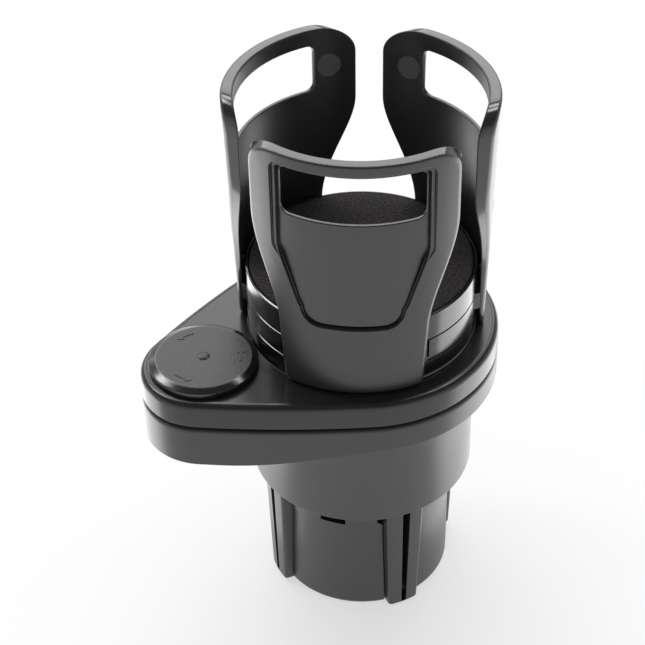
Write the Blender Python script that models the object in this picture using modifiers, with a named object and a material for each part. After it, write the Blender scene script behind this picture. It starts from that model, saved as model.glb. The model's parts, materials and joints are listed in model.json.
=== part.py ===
# Cup holder adapter for a car: a splayed foot that grips the car's own well,
# a swing arm that carries the cup off to one side, and a drum with three claws.
# Origin: middle of the foot's flat underside, on the cup axis. +Z is up.
# The knob end of the arm points to -X. Sizes below are in millimetres.

import math

import bmesh
import bpy
from mathutils import Matrix, Vector

MM = 0.001
PLAY = 0.3

# Foot: the sleeve that stands in the car's well, and its four spreading legs
SLEEVE_R = 34.0
SLEEVE_WALL = 2.4
SLEEVE_H = 53.4
SLEEVE_FLOOR = 3.0
SLEEVE_EDGE = 2.4
LIP_BELOW_TOP = 12.4
LIP_OUT = 0.35
SLEEVE_STEPS = 32
LEG_COUNT = 4
LEG_PROUD_TOP = 4.7
LEG_PROUD_FOOT = 3.3
LEG_TOP_HALF = 7.7
LEG_FOOT_HALF = 6.1
LEG_TRAVEL = 5.0
LEG_CORNER = 1.1
LEG_FLANGE_HALF = 10.0
LEG_FLANGE_T = 2.2
LEG_NUB = 1.2
LEG_SPLIT_TOP = 3.1
LEG_SPLIT_FOOT = 1.9
CLIP_WINDOW = 10.0
CLIP_WINDOW_H = 2.6
BASE_SCREW_R = 2.0
BASE_SCREW_HEAD_R = 5.0
POST_R = 9.0
POST_H = 8.7
CAM_PLAY = 0.8
TURN_PER_LEG_MM = 10.0

# Neck: the collar above the foot
COLLAR_R = 42.2
COLLAR_H = 43.3
COLLAR_WALL = 2.6
COLLAR_STEPS = 32
NECK_POST_R = 7.0
NECK_POST_H = 8.0

# Arm: plan shape of both halves, a big round end and a small one
ARM_LEDGE = 8.9
ARM_KNOB_LEDGE = 3.3
ARM_FLANK_R = 380.0
ARM_WALL = 2.5
LOWER_H = 10.3
LOWER_EDGE = 2.0
KNOB_END_DROP = 6.3
RAMP_START = 7.0
RAMP_PAST_KNOB = 3.3
ARM_SEAM = 1.0
UPPER_H = 10.1
UPPER_EDGE = 2.5
LID_T = 2.2

# Knob that clamps the two halves of the arm
KNOB_R = 19.6
KNOB_TO_DRUM = 1.3
KNOB_BEVEL = 2.7
KNOB_BEVEL_DROP = 1.3
KNOB_H = 3.4
KNOB_STEM_R = 8.2
KNOB_STEM_H = 6.9
NUT_R = 6.25
BOLT_R = 3.9
BOLT_HEAD_R = 7.3
BOLT_HEAD_H = 3.8
BOLT_SHELF = 9.4
DISC_R = 11.4
BOSS_R = 11.5

# Drum under the cup: a fixed bottom band, a fixed guide band and a turning cap
DRUM_R = 41.8
DRUM_WALL = 2.4
DRUM_BASE_H = 7.28
GUIDE_H = 9.12
CAP_H = 10.55
MAT_RIM = 1.3
MAT_PROUD = 0.45
MAT_T = 2.9
CUP_DISC = 2.3
GUIDE_PLATE = 1.3
TONGUE_T = 3.0
SCROLL_T = 2.5
HUB_R = 6.5
KEY_R = 8.6
PIN_R = 1.8
PIN_IN = 19.8
DRUM_STEPS = 36

# Claws that hold the cup
CLAW_COUNT = 3
CLAW_H = 96.5
CLAW_LIFT = 0.8
CLAW_GAP = 1.35
CLAW_FOOT_T = 1.85
CLAW_TOP_T = 4.45
CLAW_SPARE = 2.369
CLAW_FOOT_TAPER = 10.8
CLAW_WAIST_TAPER = 9.3
CLAW_WAIST_UP = 23.8
CLAW_SHOULDER_DOWN = 32.7
CLAW_CORNER = 9.8
CLAW_EDGE = 1.1
CLAW_TRAVEL = 8.0
CAP_TURN = 90.0
CLAW_STEPS = 8
WINDOW_SIDE = 11.0
WINDOW_CORNER = 2.6
WINDOW_FOOT_DOWN = 24.8
WINDOW_TOP_DOWN = 6.4
PANEL_SINK = 1.6
PANEL_STEP_SINK = 0.5
PANEL_SIDE = 9.4
PANEL_TAPER = 7.6
PANEL_UP = 28.6
PANEL_KINK_DOWN = 38.3
PANEL_STEP = 1.7
PANEL_CORNER = 6.0
GROOVE_W = 1.0
GROOVE_D = 0.65
GROOVE_IN = 0.25

SCREW_R = 1.5
SCREW_HEAD_R = 3.3
SCREW_HEAD_H = 2.0

# Heights and radii that follow from the sizes above
ARM_LENGTH = DRUM_R + KNOB_TO_DRUM + KNOB_R
PIVOT = (-ARM_LENGTH, 0.0)
ARM_BIG_R = DRUM_R + ARM_LEDGE
ARM_SMALL_R = KNOB_R + ARM_KNOB_LEDGE
RAMP_END = ARM_LENGTH + RAMP_PAST_KNOB
LIP_Z = SLEEVE_H - LIP_BELOW_TOP
SLEEVE_IN_R = SLEEVE_R - SLEEVE_WALL
POST_TOP = SLEEVE_FLOOR + POST_H
COLLAR_Z0 = SLEEVE_H + PLAY
COLLAR_FLOOR = COLLAR_Z0 + COLLAR_WALL
LOWER_Z0 = COLLAR_Z0 + COLLAR_H
LOWER_KNOB_Z0 = LOWER_Z0 - KNOB_END_DROP
LOWER_TOP = LOWER_Z0 + LOWER_H
LID_Z0 = LOWER_TOP - LID_T
UPPER_Z0 = LOWER_TOP + ARM_SEAM
UPPER_TOP = UPPER_Z0 + UPPER_H
POST_RIM = LOWER_TOP - 1.5
BOLT_SEAT = LOWER_TOP - BOLT_SHELF - 1.5
KNOB_STEM_Z = UPPER_TOP - KNOB_STEM_H
SEAM = PLAY / 2
DRUM_Z0 = UPPER_TOP + PLAY
DRUM_IN_R = DRUM_R - DRUM_WALL
BAND_1 = DRUM_Z0 + DRUM_BASE_H
BAND_2 = BAND_1 + GUIDE_H
CAP_TOP = BAND_2 + CAP_H
MAT_TOP = CAP_TOP + MAT_PROUD
MAT_R = DRUM_R - MAT_RIM
PIN_START = DRUM_R - PIN_IN
CAP_DISC_TOP = MAT_TOP - MAT_T - PLAY
CAP_DISC_Z = CAP_DISC_TOP - CUP_DISC
GUIDE_FLOOR = BAND_1 + SEAM + GUIDE_PLATE
TONGUE_Z0 = GUIDE_FLOOR + PLAY
TONGUE_Z1 = TONGUE_Z0 + TONGUE_T
SCROLL_Z0 = TONGUE_Z1 + PLAY
SCROLL_Z1 = SCROLL_Z0 + SCROLL_T
CLAW_Z0 = UPPER_TOP + CLAW_LIFT
CLAW_TOP = CLAW_Z0 + CLAW_H
CLAW_IN_R = DRUM_R + CLAW_GAP
CLAW_TOP_HALF = CLAW_IN_R * math.sin(math.pi / CLAW_COUNT) - CLAW_SPARE
CLAW_WAIST_HALF = CLAW_TOP_HALF - CLAW_WAIST_TAPER
CLAW_FOOT_HALF = CLAW_TOP_HALF - CLAW_FOOT_TAPER
WINDOW_HALF = CLAW_TOP_HALF - WINDOW_SIDE
PANEL_TOP_HALF = CLAW_TOP_HALF - PANEL_SIDE
PANEL_FOOT_HALF = PANEL_TOP_HALF - PANEL_TAPER
CLAW_FOOT_R = CLAW_IN_R + CLAW_FOOT_T
CLAW_TOP_R = CLAW_IN_R + CLAW_TOP_T
CLAW_WAIST_Z = CLAW_Z0 + CLAW_WAIST_UP
CLAW_SHOULDER_Z = CLAW_TOP - CLAW_SHOULDER_DOWN
WINDOW_Z0 = CLAW_TOP - WINDOW_FOOT_DOWN
WINDOW_Z1 = CLAW_TOP - WINDOW_TOP_DOWN
PANEL_R = CLAW_IN_R + PANEL_SINK
PANEL_STEP_R = PANEL_R + PANEL_STEP_SINK + 0.6
PANEL_Z0 = CLAW_Z0 + PANEL_UP
PANEL_KINK_Z = CLAW_TOP - PANEL_KINK_DOWN
FOOT_HALF = CLAW_WAIST_HALF - 0.4
FOOT_TOP = BAND_2 - SEAM - PLAY


def clear_scene():
    for item in list(bpy.data.objects):
        bpy.data.objects.remove(item, do_unlink=True)
    for item in list(bpy.data.meshes):
        bpy.data.meshes.remove(item)


def make_collection(name):
    group = bpy.data.collections.new(name)
    bpy.context.scene.collection.children.link(group)
    return group


def plastic(name, colour, roughness, metallic=0.0):
    surface = bpy.data.materials.new(name)
    surface.use_nodes = True
    shader = surface.node_tree.nodes["Principled BSDF"]
    shader.inputs["Base Color"].default_value = (*colour, 1.0)
    shader.inputs["Roughness"].default_value = roughness
    shader.inputs["Metallic"].default_value = metallic
    return surface


def new_object(name, mesh):
    item = bpy.data.objects.new(name, mesh)
    bpy.context.scene.collection.objects.link(item)
    return item


def weld(item):
    """Close the hair cracks that a cut leaves and turn all faces outwards."""
    form = bmesh.new()
    form.from_mesh(item.data)
    bmesh.ops.remove_doubles(form, verts=form.verts, dist=0.000004)
    bmesh.ops.dissolve_degenerate(form, edges=form.edges, dist=0.000004)
    bmesh.ops.recalc_face_normals(form, faces=form.faces)
    form.to_mesh(item.data)
    form.free()


def bake(item):
    """Put the result of an object's modifiers into its own mesh."""
    graph = bpy.context.evaluated_depsgraph_get()
    mesh = bpy.data.meshes.new_from_object(item.evaluated_get(graph))
    spent = item.data
    item.modifiers.clear()
    item.data = mesh
    bpy.data.meshes.remove(spent)
    weld(item)
    return item


def combine(item, tool, operation="DIFFERENCE"):
    """Cut, join or intersect with a tool object, which is used up."""
    step = item.modifiers.new(operation.lower(), "BOOLEAN")
    step.operation = operation
    step.solver = "EXACT"
    step.object = tool
    bake(item)
    spent = tool.data
    bpy.data.objects.remove(tool, do_unlink=True)
    if spent.users == 0:
        bpy.data.meshes.remove(spent)
    return item


def turned(name, profile, steps):
    """Revolve a profile of (radius, height) about Z, down its outer side."""
    closed = profile[0][0] > 0.0 and profile[-1][0] > 0.0
    mesh = bpy.data.meshes.new(name)
    verts = [(r * MM, 0.0, z * MM) for r, z in profile]
    edges = [(i, i + 1) for i in range(len(profile) - 1)]
    if closed:
        edges.append((len(profile) - 1, 0))
    mesh.from_pydata(verts, edges, [])
    item = new_object(name, mesh)
    screw = item.modifiers.new("revolve", "SCREW")
    screw.axis = "Z"
    screw.steps = steps
    screw.render_steps = steps
    screw.use_merge_vertices = True
    screw.merge_threshold = 0.00001
    return bake(item)


def prism(name, outline, z0, z1):
    """Extrude a flat outline of (x, y) from one height to another."""
    mesh = bpy.data.meshes.new(name)
    form = bmesh.new()
    rim = [form.verts.new((x * MM, y * MM, z0 * MM)) for x, y in outline]
    face = form.faces.new(rim)
    grown = bmesh.ops.extrude_face_region(form, geom=[face])
    lifted = [v for v in grown["geom"] if isinstance(v, bmesh.types.BMVert)]
    bmesh.ops.translate(form, verts=lifted, vec=(0.0, 0.0, (z1 - z0) * MM))
    bmesh.ops.recalc_face_normals(form, faces=form.faces)
    form.to_mesh(mesh)
    form.free()
    return new_object(name, mesh)


def round_bar(name, x, y, radius, z0, z1, steps=20):
    """A plain upright cylinder."""
    mesh = bpy.data.meshes.new(name)
    form = bmesh.new()
    spot = Matrix.Translation(Vector((x, y, (z0 + z1) / 2)) * MM)
    bmesh.ops.create_cone(form, cap_ends=True, segments=steps, radius1=radius * MM,
                          radius2=radius * MM, depth=(z1 - z0) * MM, matrix=spot)
    form.to_mesh(mesh)
    form.free()
    return new_object(name, mesh)


def block(name, x0, x1, y0, y1, z0, z1):
    """A plain box between two corners."""
    mesh = bpy.data.meshes.new(name)
    form = bmesh.new()
    spot = Matrix.Translation(Vector(((x0 + x1) / 2, (y0 + y1) / 2, (z0 + z1) / 2)) * MM)
    size = Matrix.Diagonal(Vector((x1 - x0, y1 - y0, z1 - z0, 1000.0)) * MM)
    bmesh.ops.create_cube(form, size=1.0, matrix=spot @ size)
    form.to_mesh(mesh)
    form.free()
    return new_object(name, mesh)


def turn_to(item, degrees, about=(0.0, 0.0)):
    """Turn an object's mesh about an upright axis."""
    middle = Vector((about[0] * MM, about[1] * MM, 0.0))
    spin = Matrix.Rotation(math.radians(degrees), 4, "Z")
    item.data.transform(Matrix.Translation(middle) @ spin @ Matrix.Translation(-middle))
    return item


def across(item):
    """Stand a flat prism up: its outline's x, y become y, z and its height runs to +X."""
    item.data.transform(Matrix(((0, 0, 1, 0), (1, 0, 0, 0), (0, 1, 0, 0), (0, 0, 0, 1))))
    return item


def loft(name, rings, cap):
    """Skin a stack of rings with the same number of points, and cap both ends."""
    mesh = bpy.data.meshes.new(name)
    form = bmesh.new()
    stack = [[form.verts.new(Vector(p) * MM) for p in ring] for ring in rings]
    count = len(rings[0])
    for low, high in zip(stack, stack[1:]):
        for i in range(count):
            j = (i + 1) % count
            form.faces.new((low[i], low[j], high[j], high[i]))
    cap(form, stack[0])
    cap(form, stack[-1])
    bmesh.ops.recalc_face_normals(form, faces=form.faces)
    form.to_mesh(mesh)
    form.free()
    return new_object(name, mesh)


def cap_in_strips(form, ring):
    """Close a ring that mirrors across its first point with strips across it."""
    count = len(ring)
    for i in range(count // 2):
        strip = [ring[i], ring[i + 1], ring[count - i - 1], ring[(count - i) % count]]
        corners = list(dict.fromkeys(strip))
        form.faces.new(corners)


def arm_outline(inset):
    """Plan of the arm as four arcs that touch, from the knob tip round and back."""
    flank_a = ARM_FLANK_R - ARM_BIG_R
    flank_b = ARM_FLANK_R - ARM_SMALL_R
    along = (ARM_LENGTH ** 2 + flank_a ** 2 - flank_b ** 2) / (2 * ARM_LENGTH)
    aside = -math.sqrt(flank_a ** 2 - along ** 2)
    at_big = math.atan2(-aside, -along)
    at_small = math.atan2(-aside, ARM_LENGTH - along)
    arcs = ((ARM_LENGTH, 0.0, ARM_SMALL_R, 0.0, at_small, 6),
            (along, aside, ARM_FLANK_R, at_small, at_big, 2),
            (0.0, 0.0, ARM_BIG_R, at_big, math.pi, 11))
    half = []
    for middle, side, radius, start, end, count in arcs:
        for i in range(count):
            angle = start + (end - start) * i / count
            reach = radius - inset
            half.append((middle + reach * math.cos(angle), side + reach * math.sin(angle)))
    half.append((-(ARM_BIG_R - inset), 0.0))
    back = [(s, -t) for s, t in reversed(half[1:-1])]
    return half + back


def arm_ring(inset, height):
    """One ring of the arm's skin. The height may be a number or follow the ramp."""
    ring = []
    for s, t in arm_outline(inset):
        z = height(s) if callable(height) else height
        ring.append((-s, t, z))
    return ring


def underside(s):
    """Underside of the arm's lower half, s from the cup axis towards the knob."""
    run = min(max((s - RAMP_START) / (RAMP_END - RAMP_START), 0.0), 1.0)
    return LOWER_Z0 + (LOWER_KNOB_Z0 - LOWER_Z0) * run * run * (3.0 - 2.0 * run)


def polar(radius, degrees):
    return radius * math.cos(math.radians(degrees)), radius * math.sin(math.radians(degrees))


def smooth(item, degrees=32.0):
    for face in item.data.polygons:
        face.use_smooth = True
    item.data.set_sharp_from_angle(angle=math.radians(degrees))


def screw_piece(name, x, y, head_z, shank_end, head_up):
    """A pan head screw. head_z is the seat under the head."""
    way = 1.0 if head_up else -1.0
    rows = [(0.0, SCREW_HEAD_H), (SCREW_HEAD_R * 0.6, SCREW_HEAD_H), (SCREW_HEAD_R, SCREW_HEAD_H * 0.55),
            (SCREW_HEAD_R, 0.0), (SCREW_R, 0.0), (SCREW_R, -abs(head_z - shank_end)),
            (0.0, -abs(head_z - shank_end))]
    profile = [(r, z * way) for r, z in rows]
    if not head_up:
        profile.reverse()
    item = turned(name, profile, 8)
    item.data.transform(Matrix.Translation(Vector((x, y, head_z)) * MM))
    return item


# Foot

def leg_half(z):
    return LEG_FOOT_HALF + (LEG_TOP_HALF - LEG_FOOT_HALF) * z / SLEEVE_H


def leg_reach(z):
    return SLEEVE_R + LEG_PROUD_FOOT + (LEG_PROUD_TOP - LEG_PROUD_FOOT) * z / SLEEVE_H


LEG_Z0 = 0.5
LEG_TOP_Z = SLEEVE_H - 2.8
LEG_SLOT_TOP = LEG_TOP_Z + PLAY
FLANGE_CORNER_R = SLEEVE_IN_R - LEG_TRAVEL - 2 * PLAY
LEG_FLANGE_OUT = math.sqrt(FLANGE_CORNER_R ** 2 - LEG_FLANGE_HALF ** 2)
LEG_FLANGE_IN = LEG_FLANGE_OUT - LEG_FLANGE_T
LEG_NUB_IN = LEG_FLANGE_IN - LEG_NUB
CAM_R = LEG_NUB_IN - CAM_PLAY
CAM_TURN = LEG_TRAVEL * TURN_PER_LEG_MM
CAM_BACK = 6.0
CAM_REST = 360.0 / LEG_COUNT - CAM_TURN - CAM_BACK
FOOT_NOTCH_R = math.sqrt(SLEEVE_IN_R ** 2 - LEG_FLANGE_HALF ** 2) - PLAY


def sleeve():
    pilot = BASE_SCREW_R + PLAY
    profile = [(0.0, SLEEVE_FLOOR), (pilot, SLEEVE_FLOOR), (pilot, POST_TOP), (POST_R, POST_TOP),
               (POST_R, SLEEVE_FLOOR), (SLEEVE_IN_R, SLEEVE_FLOOR), (SLEEVE_IN_R, SLEEVE_H),
               (SLEEVE_R + LIP_OUT, SLEEVE_H), (SLEEVE_R + LIP_OUT, LIP_Z), (SLEEVE_R, LIP_Z),
               (SLEEVE_R, SLEEVE_EDGE), (SLEEVE_R - SLEEVE_EDGE * 0.3, SLEEVE_EDGE * 0.3),
               (SLEEVE_R - SLEEVE_EDGE, 0.0), (0.0, 0.0)]
    item = turned("base_sleeve", profile, SLEEVE_STEPS)
    for i in range(LEG_COUNT):
        low = leg_half(0.0) + PLAY
        high = leg_half(LEG_SLOT_TOP) + PLAY
        notch_z = LIP_Z + 2.4
        notch = leg_half(notch_z) + PLAY
        ear = notch + 1.9
        side = [(low, -1.0), (notch, notch_z), (ear, notch_z + 1.6), (high + 1.9, LEG_SLOT_TOP)]
        outline = side + [(-t, z) for t, z in reversed(side)]
        slot = across(prism("slot", outline, FOOT_NOTCH_R, SLEEVE_R * 1.5))
        combine(item, turn_to(slot, 360.0 * i / LEG_COUNT))
    for i in range(LEG_COUNT):
        low = LIP_Z + 2.9
        half = CLIP_WINDOW / 2
        outline = [(-half, low), (half, low), (half, low + CLIP_WINDOW_H), (-half, low + CLIP_WINDOW_H)]
        window = across(prism("window", outline, SLEEVE_IN_R * 0.8, SLEEVE_R * 1.5))
        combine(item, turn_to(window, 360.0 * (i + 0.5) / LEG_COUNT))
    return item


def leg_ring(z, inset):
    """Plan of a leg at one height: flat sides and an outer face on the sleeve's round."""
    half = leg_half(z) - inset
    reach = leg_reach(z) - inset
    root = LEG_FLANGE_OUT - 0.8
    face = half - LEG_CORNER
    edge = math.sqrt(reach ** 2 - face ** 2)
    right = [(root, half), (edge - LEG_CORNER, half), (edge - LEG_CORNER * 0.3, half - LEG_CORNER * 0.3)]
    front = []
    for i in range(5):
        t = face * (1.0 - i / 2.0)
        front.append((math.sqrt(reach ** 2 - t ** 2), t))
    left = [(x, -t) for x, t in reversed(right)]
    return [(x, t, z) for x, t in right + front + left]


def leg_pattern():
    rings = [leg_ring(LEG_Z0, 1.0), leg_ring(LEG_Z0 + 0.3, 0.35), leg_ring(LEG_Z0 + 1.1, 0.0),
             leg_ring(LEG_TOP_Z, 0.0)]
    item = loft("leg", rings, lambda form, ring: form.faces.new(ring))
    wide = LEG_FLANGE_HALF
    low = SLEEVE_FLOOR + 2.6
    combine(item, block("relief", 0.0, SLEEVE_IN_R - PLAY, -wide, wide, -1.0, SLEEVE_FLOOR + 0.4))
    flange = block("flange", LEG_FLANGE_IN, LEG_FLANGE_OUT, -wide, wide, low, LEG_TOP_Z - 2.0)
    combine(item, flange, "UNION")
    nub = block("nub", LEG_NUB_IN, LEG_FLANGE_IN + 0.5, -2.0, 2.0, low + 2.0, LEG_TOP_Z - 4.0)
    combine(item, nub, "UNION")
    half_top = LEG_SPLIT_TOP / 2
    half_foot = LEG_SPLIT_FOOT / 2
    low = LEG_Z0 + 1.2
    outline = [(-half_foot, low), (half_foot, low), (half_top, SLEEVE_H), (-half_top, SLEEVE_H)]
    split = across(prism("split", outline, LEG_FLANGE_OUT + 1.5, SLEEVE_R * 1.5))
    combine(item, split)
    return item


def spreader_cam():
    """Four saw teeth that push the legs out as the neck turns."""
    outline = []
    for tooth in range(LEG_COUNT):
        start = 360.0 * tooth / LEG_COUNT
        for i in range(8):
            psi = -CAM_TURN * (1.0 - i / 7.0)
            outline.append(polar(CAM_R - psi / TURN_PER_LEG_MM, start + psi))
        for i in range(1, 4):
            outline.append(polar(CAM_R, start + CAM_REST * i / 3.0))
    item = prism("spreader_cam", outline, POST_TOP + PLAY, COLLAR_Z0 - PLAY)
    combine(item, round_bar("bore", 0.0, 0.0, BASE_SCREW_R + PLAY, 0.0, COLLAR_FLOOR, 16))
    return item


def base_screw():
    """Holds the collar down on the foot and lets it turn."""
    seat = COLLAR_FLOOR + NECK_POST_H + PLAY
    top = seat + 3.0
    head = BASE_SCREW_HEAD_R
    profile = [(0.0, top), (head * 0.7, top), (head, top - 1.2), (head, seat), (BASE_SCREW_R, seat),
               (BASE_SCREW_R, SLEEVE_FLOOR + 1.5), (0.0, SLEEVE_FLOOR + 1.5)]
    return turned("base_screw", profile, 12)


# Neck and the arm's lower half

NECK_SCREW_R = COLLAR_R - COLLAR_WALL - SCREW_R * 2.7
NECK_SCREWS = [polar(NECK_SCREW_R, a) for a in (0.0, 120.0, 240.0)]


def ramp_block(name, drop, top):
    """Everything above the arm's underside, lowered by a clearance."""
    reach = ARM_BIG_R + 10.0
    outline = [(reach, top), (-reach, top)]
    count = 18
    for i in range(count + 1):
        s = reach - 2.0 * reach * i / count
        outline.append((-s, underside(s) - drop))
    item = prism(name, outline, -reach, reach)
    item.data.transform(Matrix.Rotation(math.radians(90.0), 4, "X"))
    return item


def collar():
    bore = BASE_SCREW_R + PLAY
    inner = COLLAR_R - COLLAR_WALL
    post_top = COLLAR_FLOOR + NECK_POST_H
    profile = [(COLLAR_R, LOWER_Z0 + 2.0), (COLLAR_R, COLLAR_Z0 + 0.8), (COLLAR_R - 0.8, COLLAR_Z0),
               (bore, COLLAR_Z0), (bore, post_top), (NECK_POST_R, post_top),
               (NECK_POST_R, COLLAR_FLOOR), (inner, COLLAR_FLOOR), (inner, LOWER_Z0 + 2.0)]
    item = turned("collar", profile, COLLAR_STEPS)
    for x, y in NECK_SCREWS:
        low = LOWER_Z0 - COLLAR_H * 0.45
        combine(item, round_bar("boss", x, y, SCREW_R * 3.0, low, LOWER_Z0 + 1.0, 16), "UNION")
        combine(item, round_bar("pilot", x, y, SCREW_R + PLAY, low + 2.5, LOWER_TOP, 12))
    combine(item, ramp_block("ramp", PLAY, LOWER_TOP))
    return item


def lower_arm():
    floor = ARM_WALL
    rings = [arm_ring(1.0, underside),
             arm_ring(0.0, lambda s: underside(s) + 1.0),
             arm_ring(0.0, LOWER_TOP - LOWER_EDGE),
             arm_ring(LOWER_EDGE * 0.3, LOWER_TOP - LOWER_EDGE * 0.3),
             arm_ring(LOWER_EDGE, LOWER_TOP),
             arm_ring(ARM_WALL, LOWER_TOP),
             arm_ring(ARM_WALL, LID_Z0 - PLAY),
             arm_ring(ARM_WALL + 1.6, LID_Z0 - PLAY),
             arm_ring(ARM_WALL + 1.6, lambda s: underside(s) + floor)]
    item = loft("lower_arm", rings, cap_in_strips)
    post = round_bar("post", *PIVOT, BOLT_HEAD_R + 3.0, LOWER_KNOB_Z0 + 1.2, POST_RIM, 24)
    combine(item, post, "UNION")
    combine(item, round_bar("bore", *PIVOT, BOLT_R + PLAY, COLLAR_FLOOR, UPPER_TOP))
    combine(item, round_bar("well", *PIVOT, BOLT_HEAD_R + 2 * PLAY, COLLAR_FLOOR, BOLT_SEAT, 24))
    for x, y in NECK_SCREWS:
        combine(item, round_bar("pilot", x, y, SCREW_R + PLAY, COLLAR_FLOOR, LOWER_TOP, 12))
    return item


def lower_lid():
    rings = [arm_ring(ARM_WALL + PLAY, LID_Z0), arm_ring(ARM_WALL + PLAY, LOWER_TOP)]
    item = loft("lower_lid", rings, cap_in_strips)
    combine(item, round_bar("eye", *PIVOT, DISC_R + PLAY, LOWER_Z0, UPPER_TOP, 32))
    return item


def friction_disc():
    low = POST_RIM + PLAY
    high = UPPER_Z0 - PLAY
    profile = [(DISC_R, high), (DISC_R, low), (BOLT_R + 0.6, low), (BOLT_R + 0.6, high)]
    item = turned("friction_disc", profile, 18)
    item.data.transform(Matrix.Translation(Vector((*PIVOT, 0.0)) * MM))
    return item


def pivot_bolt():
    head_z = BOLT_SEAT - PLAY
    six = [(PIVOT[0] + x, PIVOT[1] + y) for x, y in (polar(BOLT_HEAD_R, 60.0 * i) for i in range(6))]
    item = prism("pivot_bolt", six, head_z - BOLT_HEAD_H, head_z)
    combine(item, round_bar("shank", *PIVOT, BOLT_R, head_z - BOLT_HEAD_H / 2, UPPER_TOP - PLAY), "UNION")
    return item


# Arm's upper half with the knob

DRUM_SCREWS = [polar(DRUM_R * 0.72, a) for a in (60.0, 180.0, 300.0)]


def upper_arm():
    edge = UPPER_EDGE
    ceiling = UPPER_TOP - ARM_WALL
    rings = [arm_ring(ARM_WALL + 1.2, ceiling),
             arm_ring(ARM_WALL + 1.2, UPPER_Z0 + LID_T + PLAY),
             arm_ring(ARM_WALL, UPPER_Z0 + LID_T + PLAY),
             arm_ring(ARM_WALL, UPPER_Z0),
             arm_ring(0.5, UPPER_Z0),
             arm_ring(0.0, UPPER_Z0 + 0.5),
             arm_ring(0.0, UPPER_TOP - edge),
             arm_ring(edge * 0.134, UPPER_TOP - edge * 0.5),
             arm_ring(edge * 0.5, UPPER_TOP - edge * 0.134),
             arm_ring(edge, UPPER_TOP)]
    item = loft("upper_arm", rings, cap_in_strips)
    combine(item, round_bar("boss", *PIVOT, BOSS_R, UPPER_Z0, ceiling + 0.5, 28), "UNION")
    combine(item, round_bar("socket", *PIVOT, KNOB_STEM_R + PLAY, KNOB_STEM_Z - PLAY, BAND_1, 28))
    combine(item, round_bar("bore", *PIVOT, BOLT_R + PLAY, LOWER_Z0, UPPER_TOP))
    for x, y in DRUM_SCREWS:
        combine(item, round_bar("pilot", x, y, SCREW_R + PLAY, UPPER_Z0, BAND_1, 12))
    return item


def upper_cover():
    low = UPPER_Z0 + PLAY
    rings = [arm_ring(ARM_WALL + PLAY, low), arm_ring(ARM_WALL + PLAY, low + LID_T - PLAY)]
    item = loft("upper_cover", rings, cap_in_strips)
    combine(item, round_bar("eye", *PIVOT, BOSS_R + PLAY, LOWER_Z0, DRUM_Z0, 32))
    return item


def turning_arrow(start, sweep, radius, width):
    """Outline of a bent arrow about the knob's middle."""
    outer = []
    inner = []
    for i in range(9):
        angle = start + sweep * i / 8.0
        outer.append(polar(radius + width / 2, angle))
        inner.append(polar(radius - width / 2, angle))
    end = start + sweep
    head = [polar(radius + width * 1.4, end), polar(radius, end + 14.0), polar(radius - width * 1.4, end)]
    outline = outer + head + list(reversed(inner))
    return [(PIVOT[0] + x, PIVOT[1] + y) for x, y in outline]


def knob():
    low = UPPER_TOP + PLAY
    top = low + KNOB_H
    bevel = top - KNOB_BEVEL_DROP
    profile = [(0.0, top + 0.5), (1.4, top + 0.4), (2.5, top), (KNOB_R - KNOB_BEVEL, top),
               (KNOB_R - 0.3, bevel), (KNOB_R, bevel - 0.4), (KNOB_R, low + 0.5), (KNOB_R - 0.4, low),
               (KNOB_STEM_R, low),
               (KNOB_STEM_R, KNOB_STEM_Z), (0.0, KNOB_STEM_Z)]
    item = turned("knob", profile, 30)
    item.data.transform(Matrix.Translation(Vector((*PIVOT, 0.0)) * MM))
    six = [(PIVOT[0] + x, PIVOT[1] + y) for x, y in (polar(NUT_R + PLAY, 60.0 * i) for i in range(6))]
    combine(item, prism("pocket", six, KNOB_STEM_Z - 1.0, UPPER_TOP + 0.2))
    for start in (20.0, 200.0):
        arrow = prism("arrow", turning_arrow(start, 75.0, KNOB_R * 0.59, 1.2), top - 0.3, top + 0.3)
        combine(item, arrow, "UNION")
    return item


def knob_nut():
    six = [(PIVOT[0] + x, PIVOT[1] + y) for x, y in (polar(NUT_R, 60.0 * i) for i in range(6))]
    item = prism("knob_nut", six, KNOB_STEM_Z + PLAY, UPPER_TOP - 0.1)
    combine(item, round_bar("bore", *PIVOT, BOLT_R + PLAY, UPPER_Z0, BAND_1, 16))
    return item


# Drum

def drum_base():
    profile = [(DRUM_R - 0.4, BAND_1 - SEAM), (DRUM_R, BAND_1 - SEAM - 0.4), (DRUM_R, DRUM_Z0 + 0.9),
               (DRUM_R + 0.5, DRUM_Z0), (0.0, DRUM_Z0)]
    hollow = [(0.0, TONGUE_Z0 + 1.0), (HUB_R, TONGUE_Z0 + 1.0), (HUB_R, DRUM_Z0 + 2.5),
              (DRUM_IN_R, DRUM_Z0 + 2.5), (DRUM_IN_R, BAND_1 - SEAM)]
    item = turned("drum_base", hollow + profile, DRUM_STEPS)
    combine(item, round_bar("bore", 0.0, 0.0, SCREW_R + PLAY, DRUM_Z0 + 1.5, CAP_TOP, 12))
    for x, y in DRUM_SCREWS:
        combine(item, round_bar("boss", x, y, SCREW_R * 2.5, DRUM_Z0 + 1.0, BAND_1 - 0.6, 14), "UNION")
        combine(item, round_bar("pilot", x, y, SCREW_R + PLAY, DRUM_Z0 - 1.0, BAND_1 - 1.6, 12))
    return item


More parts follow.
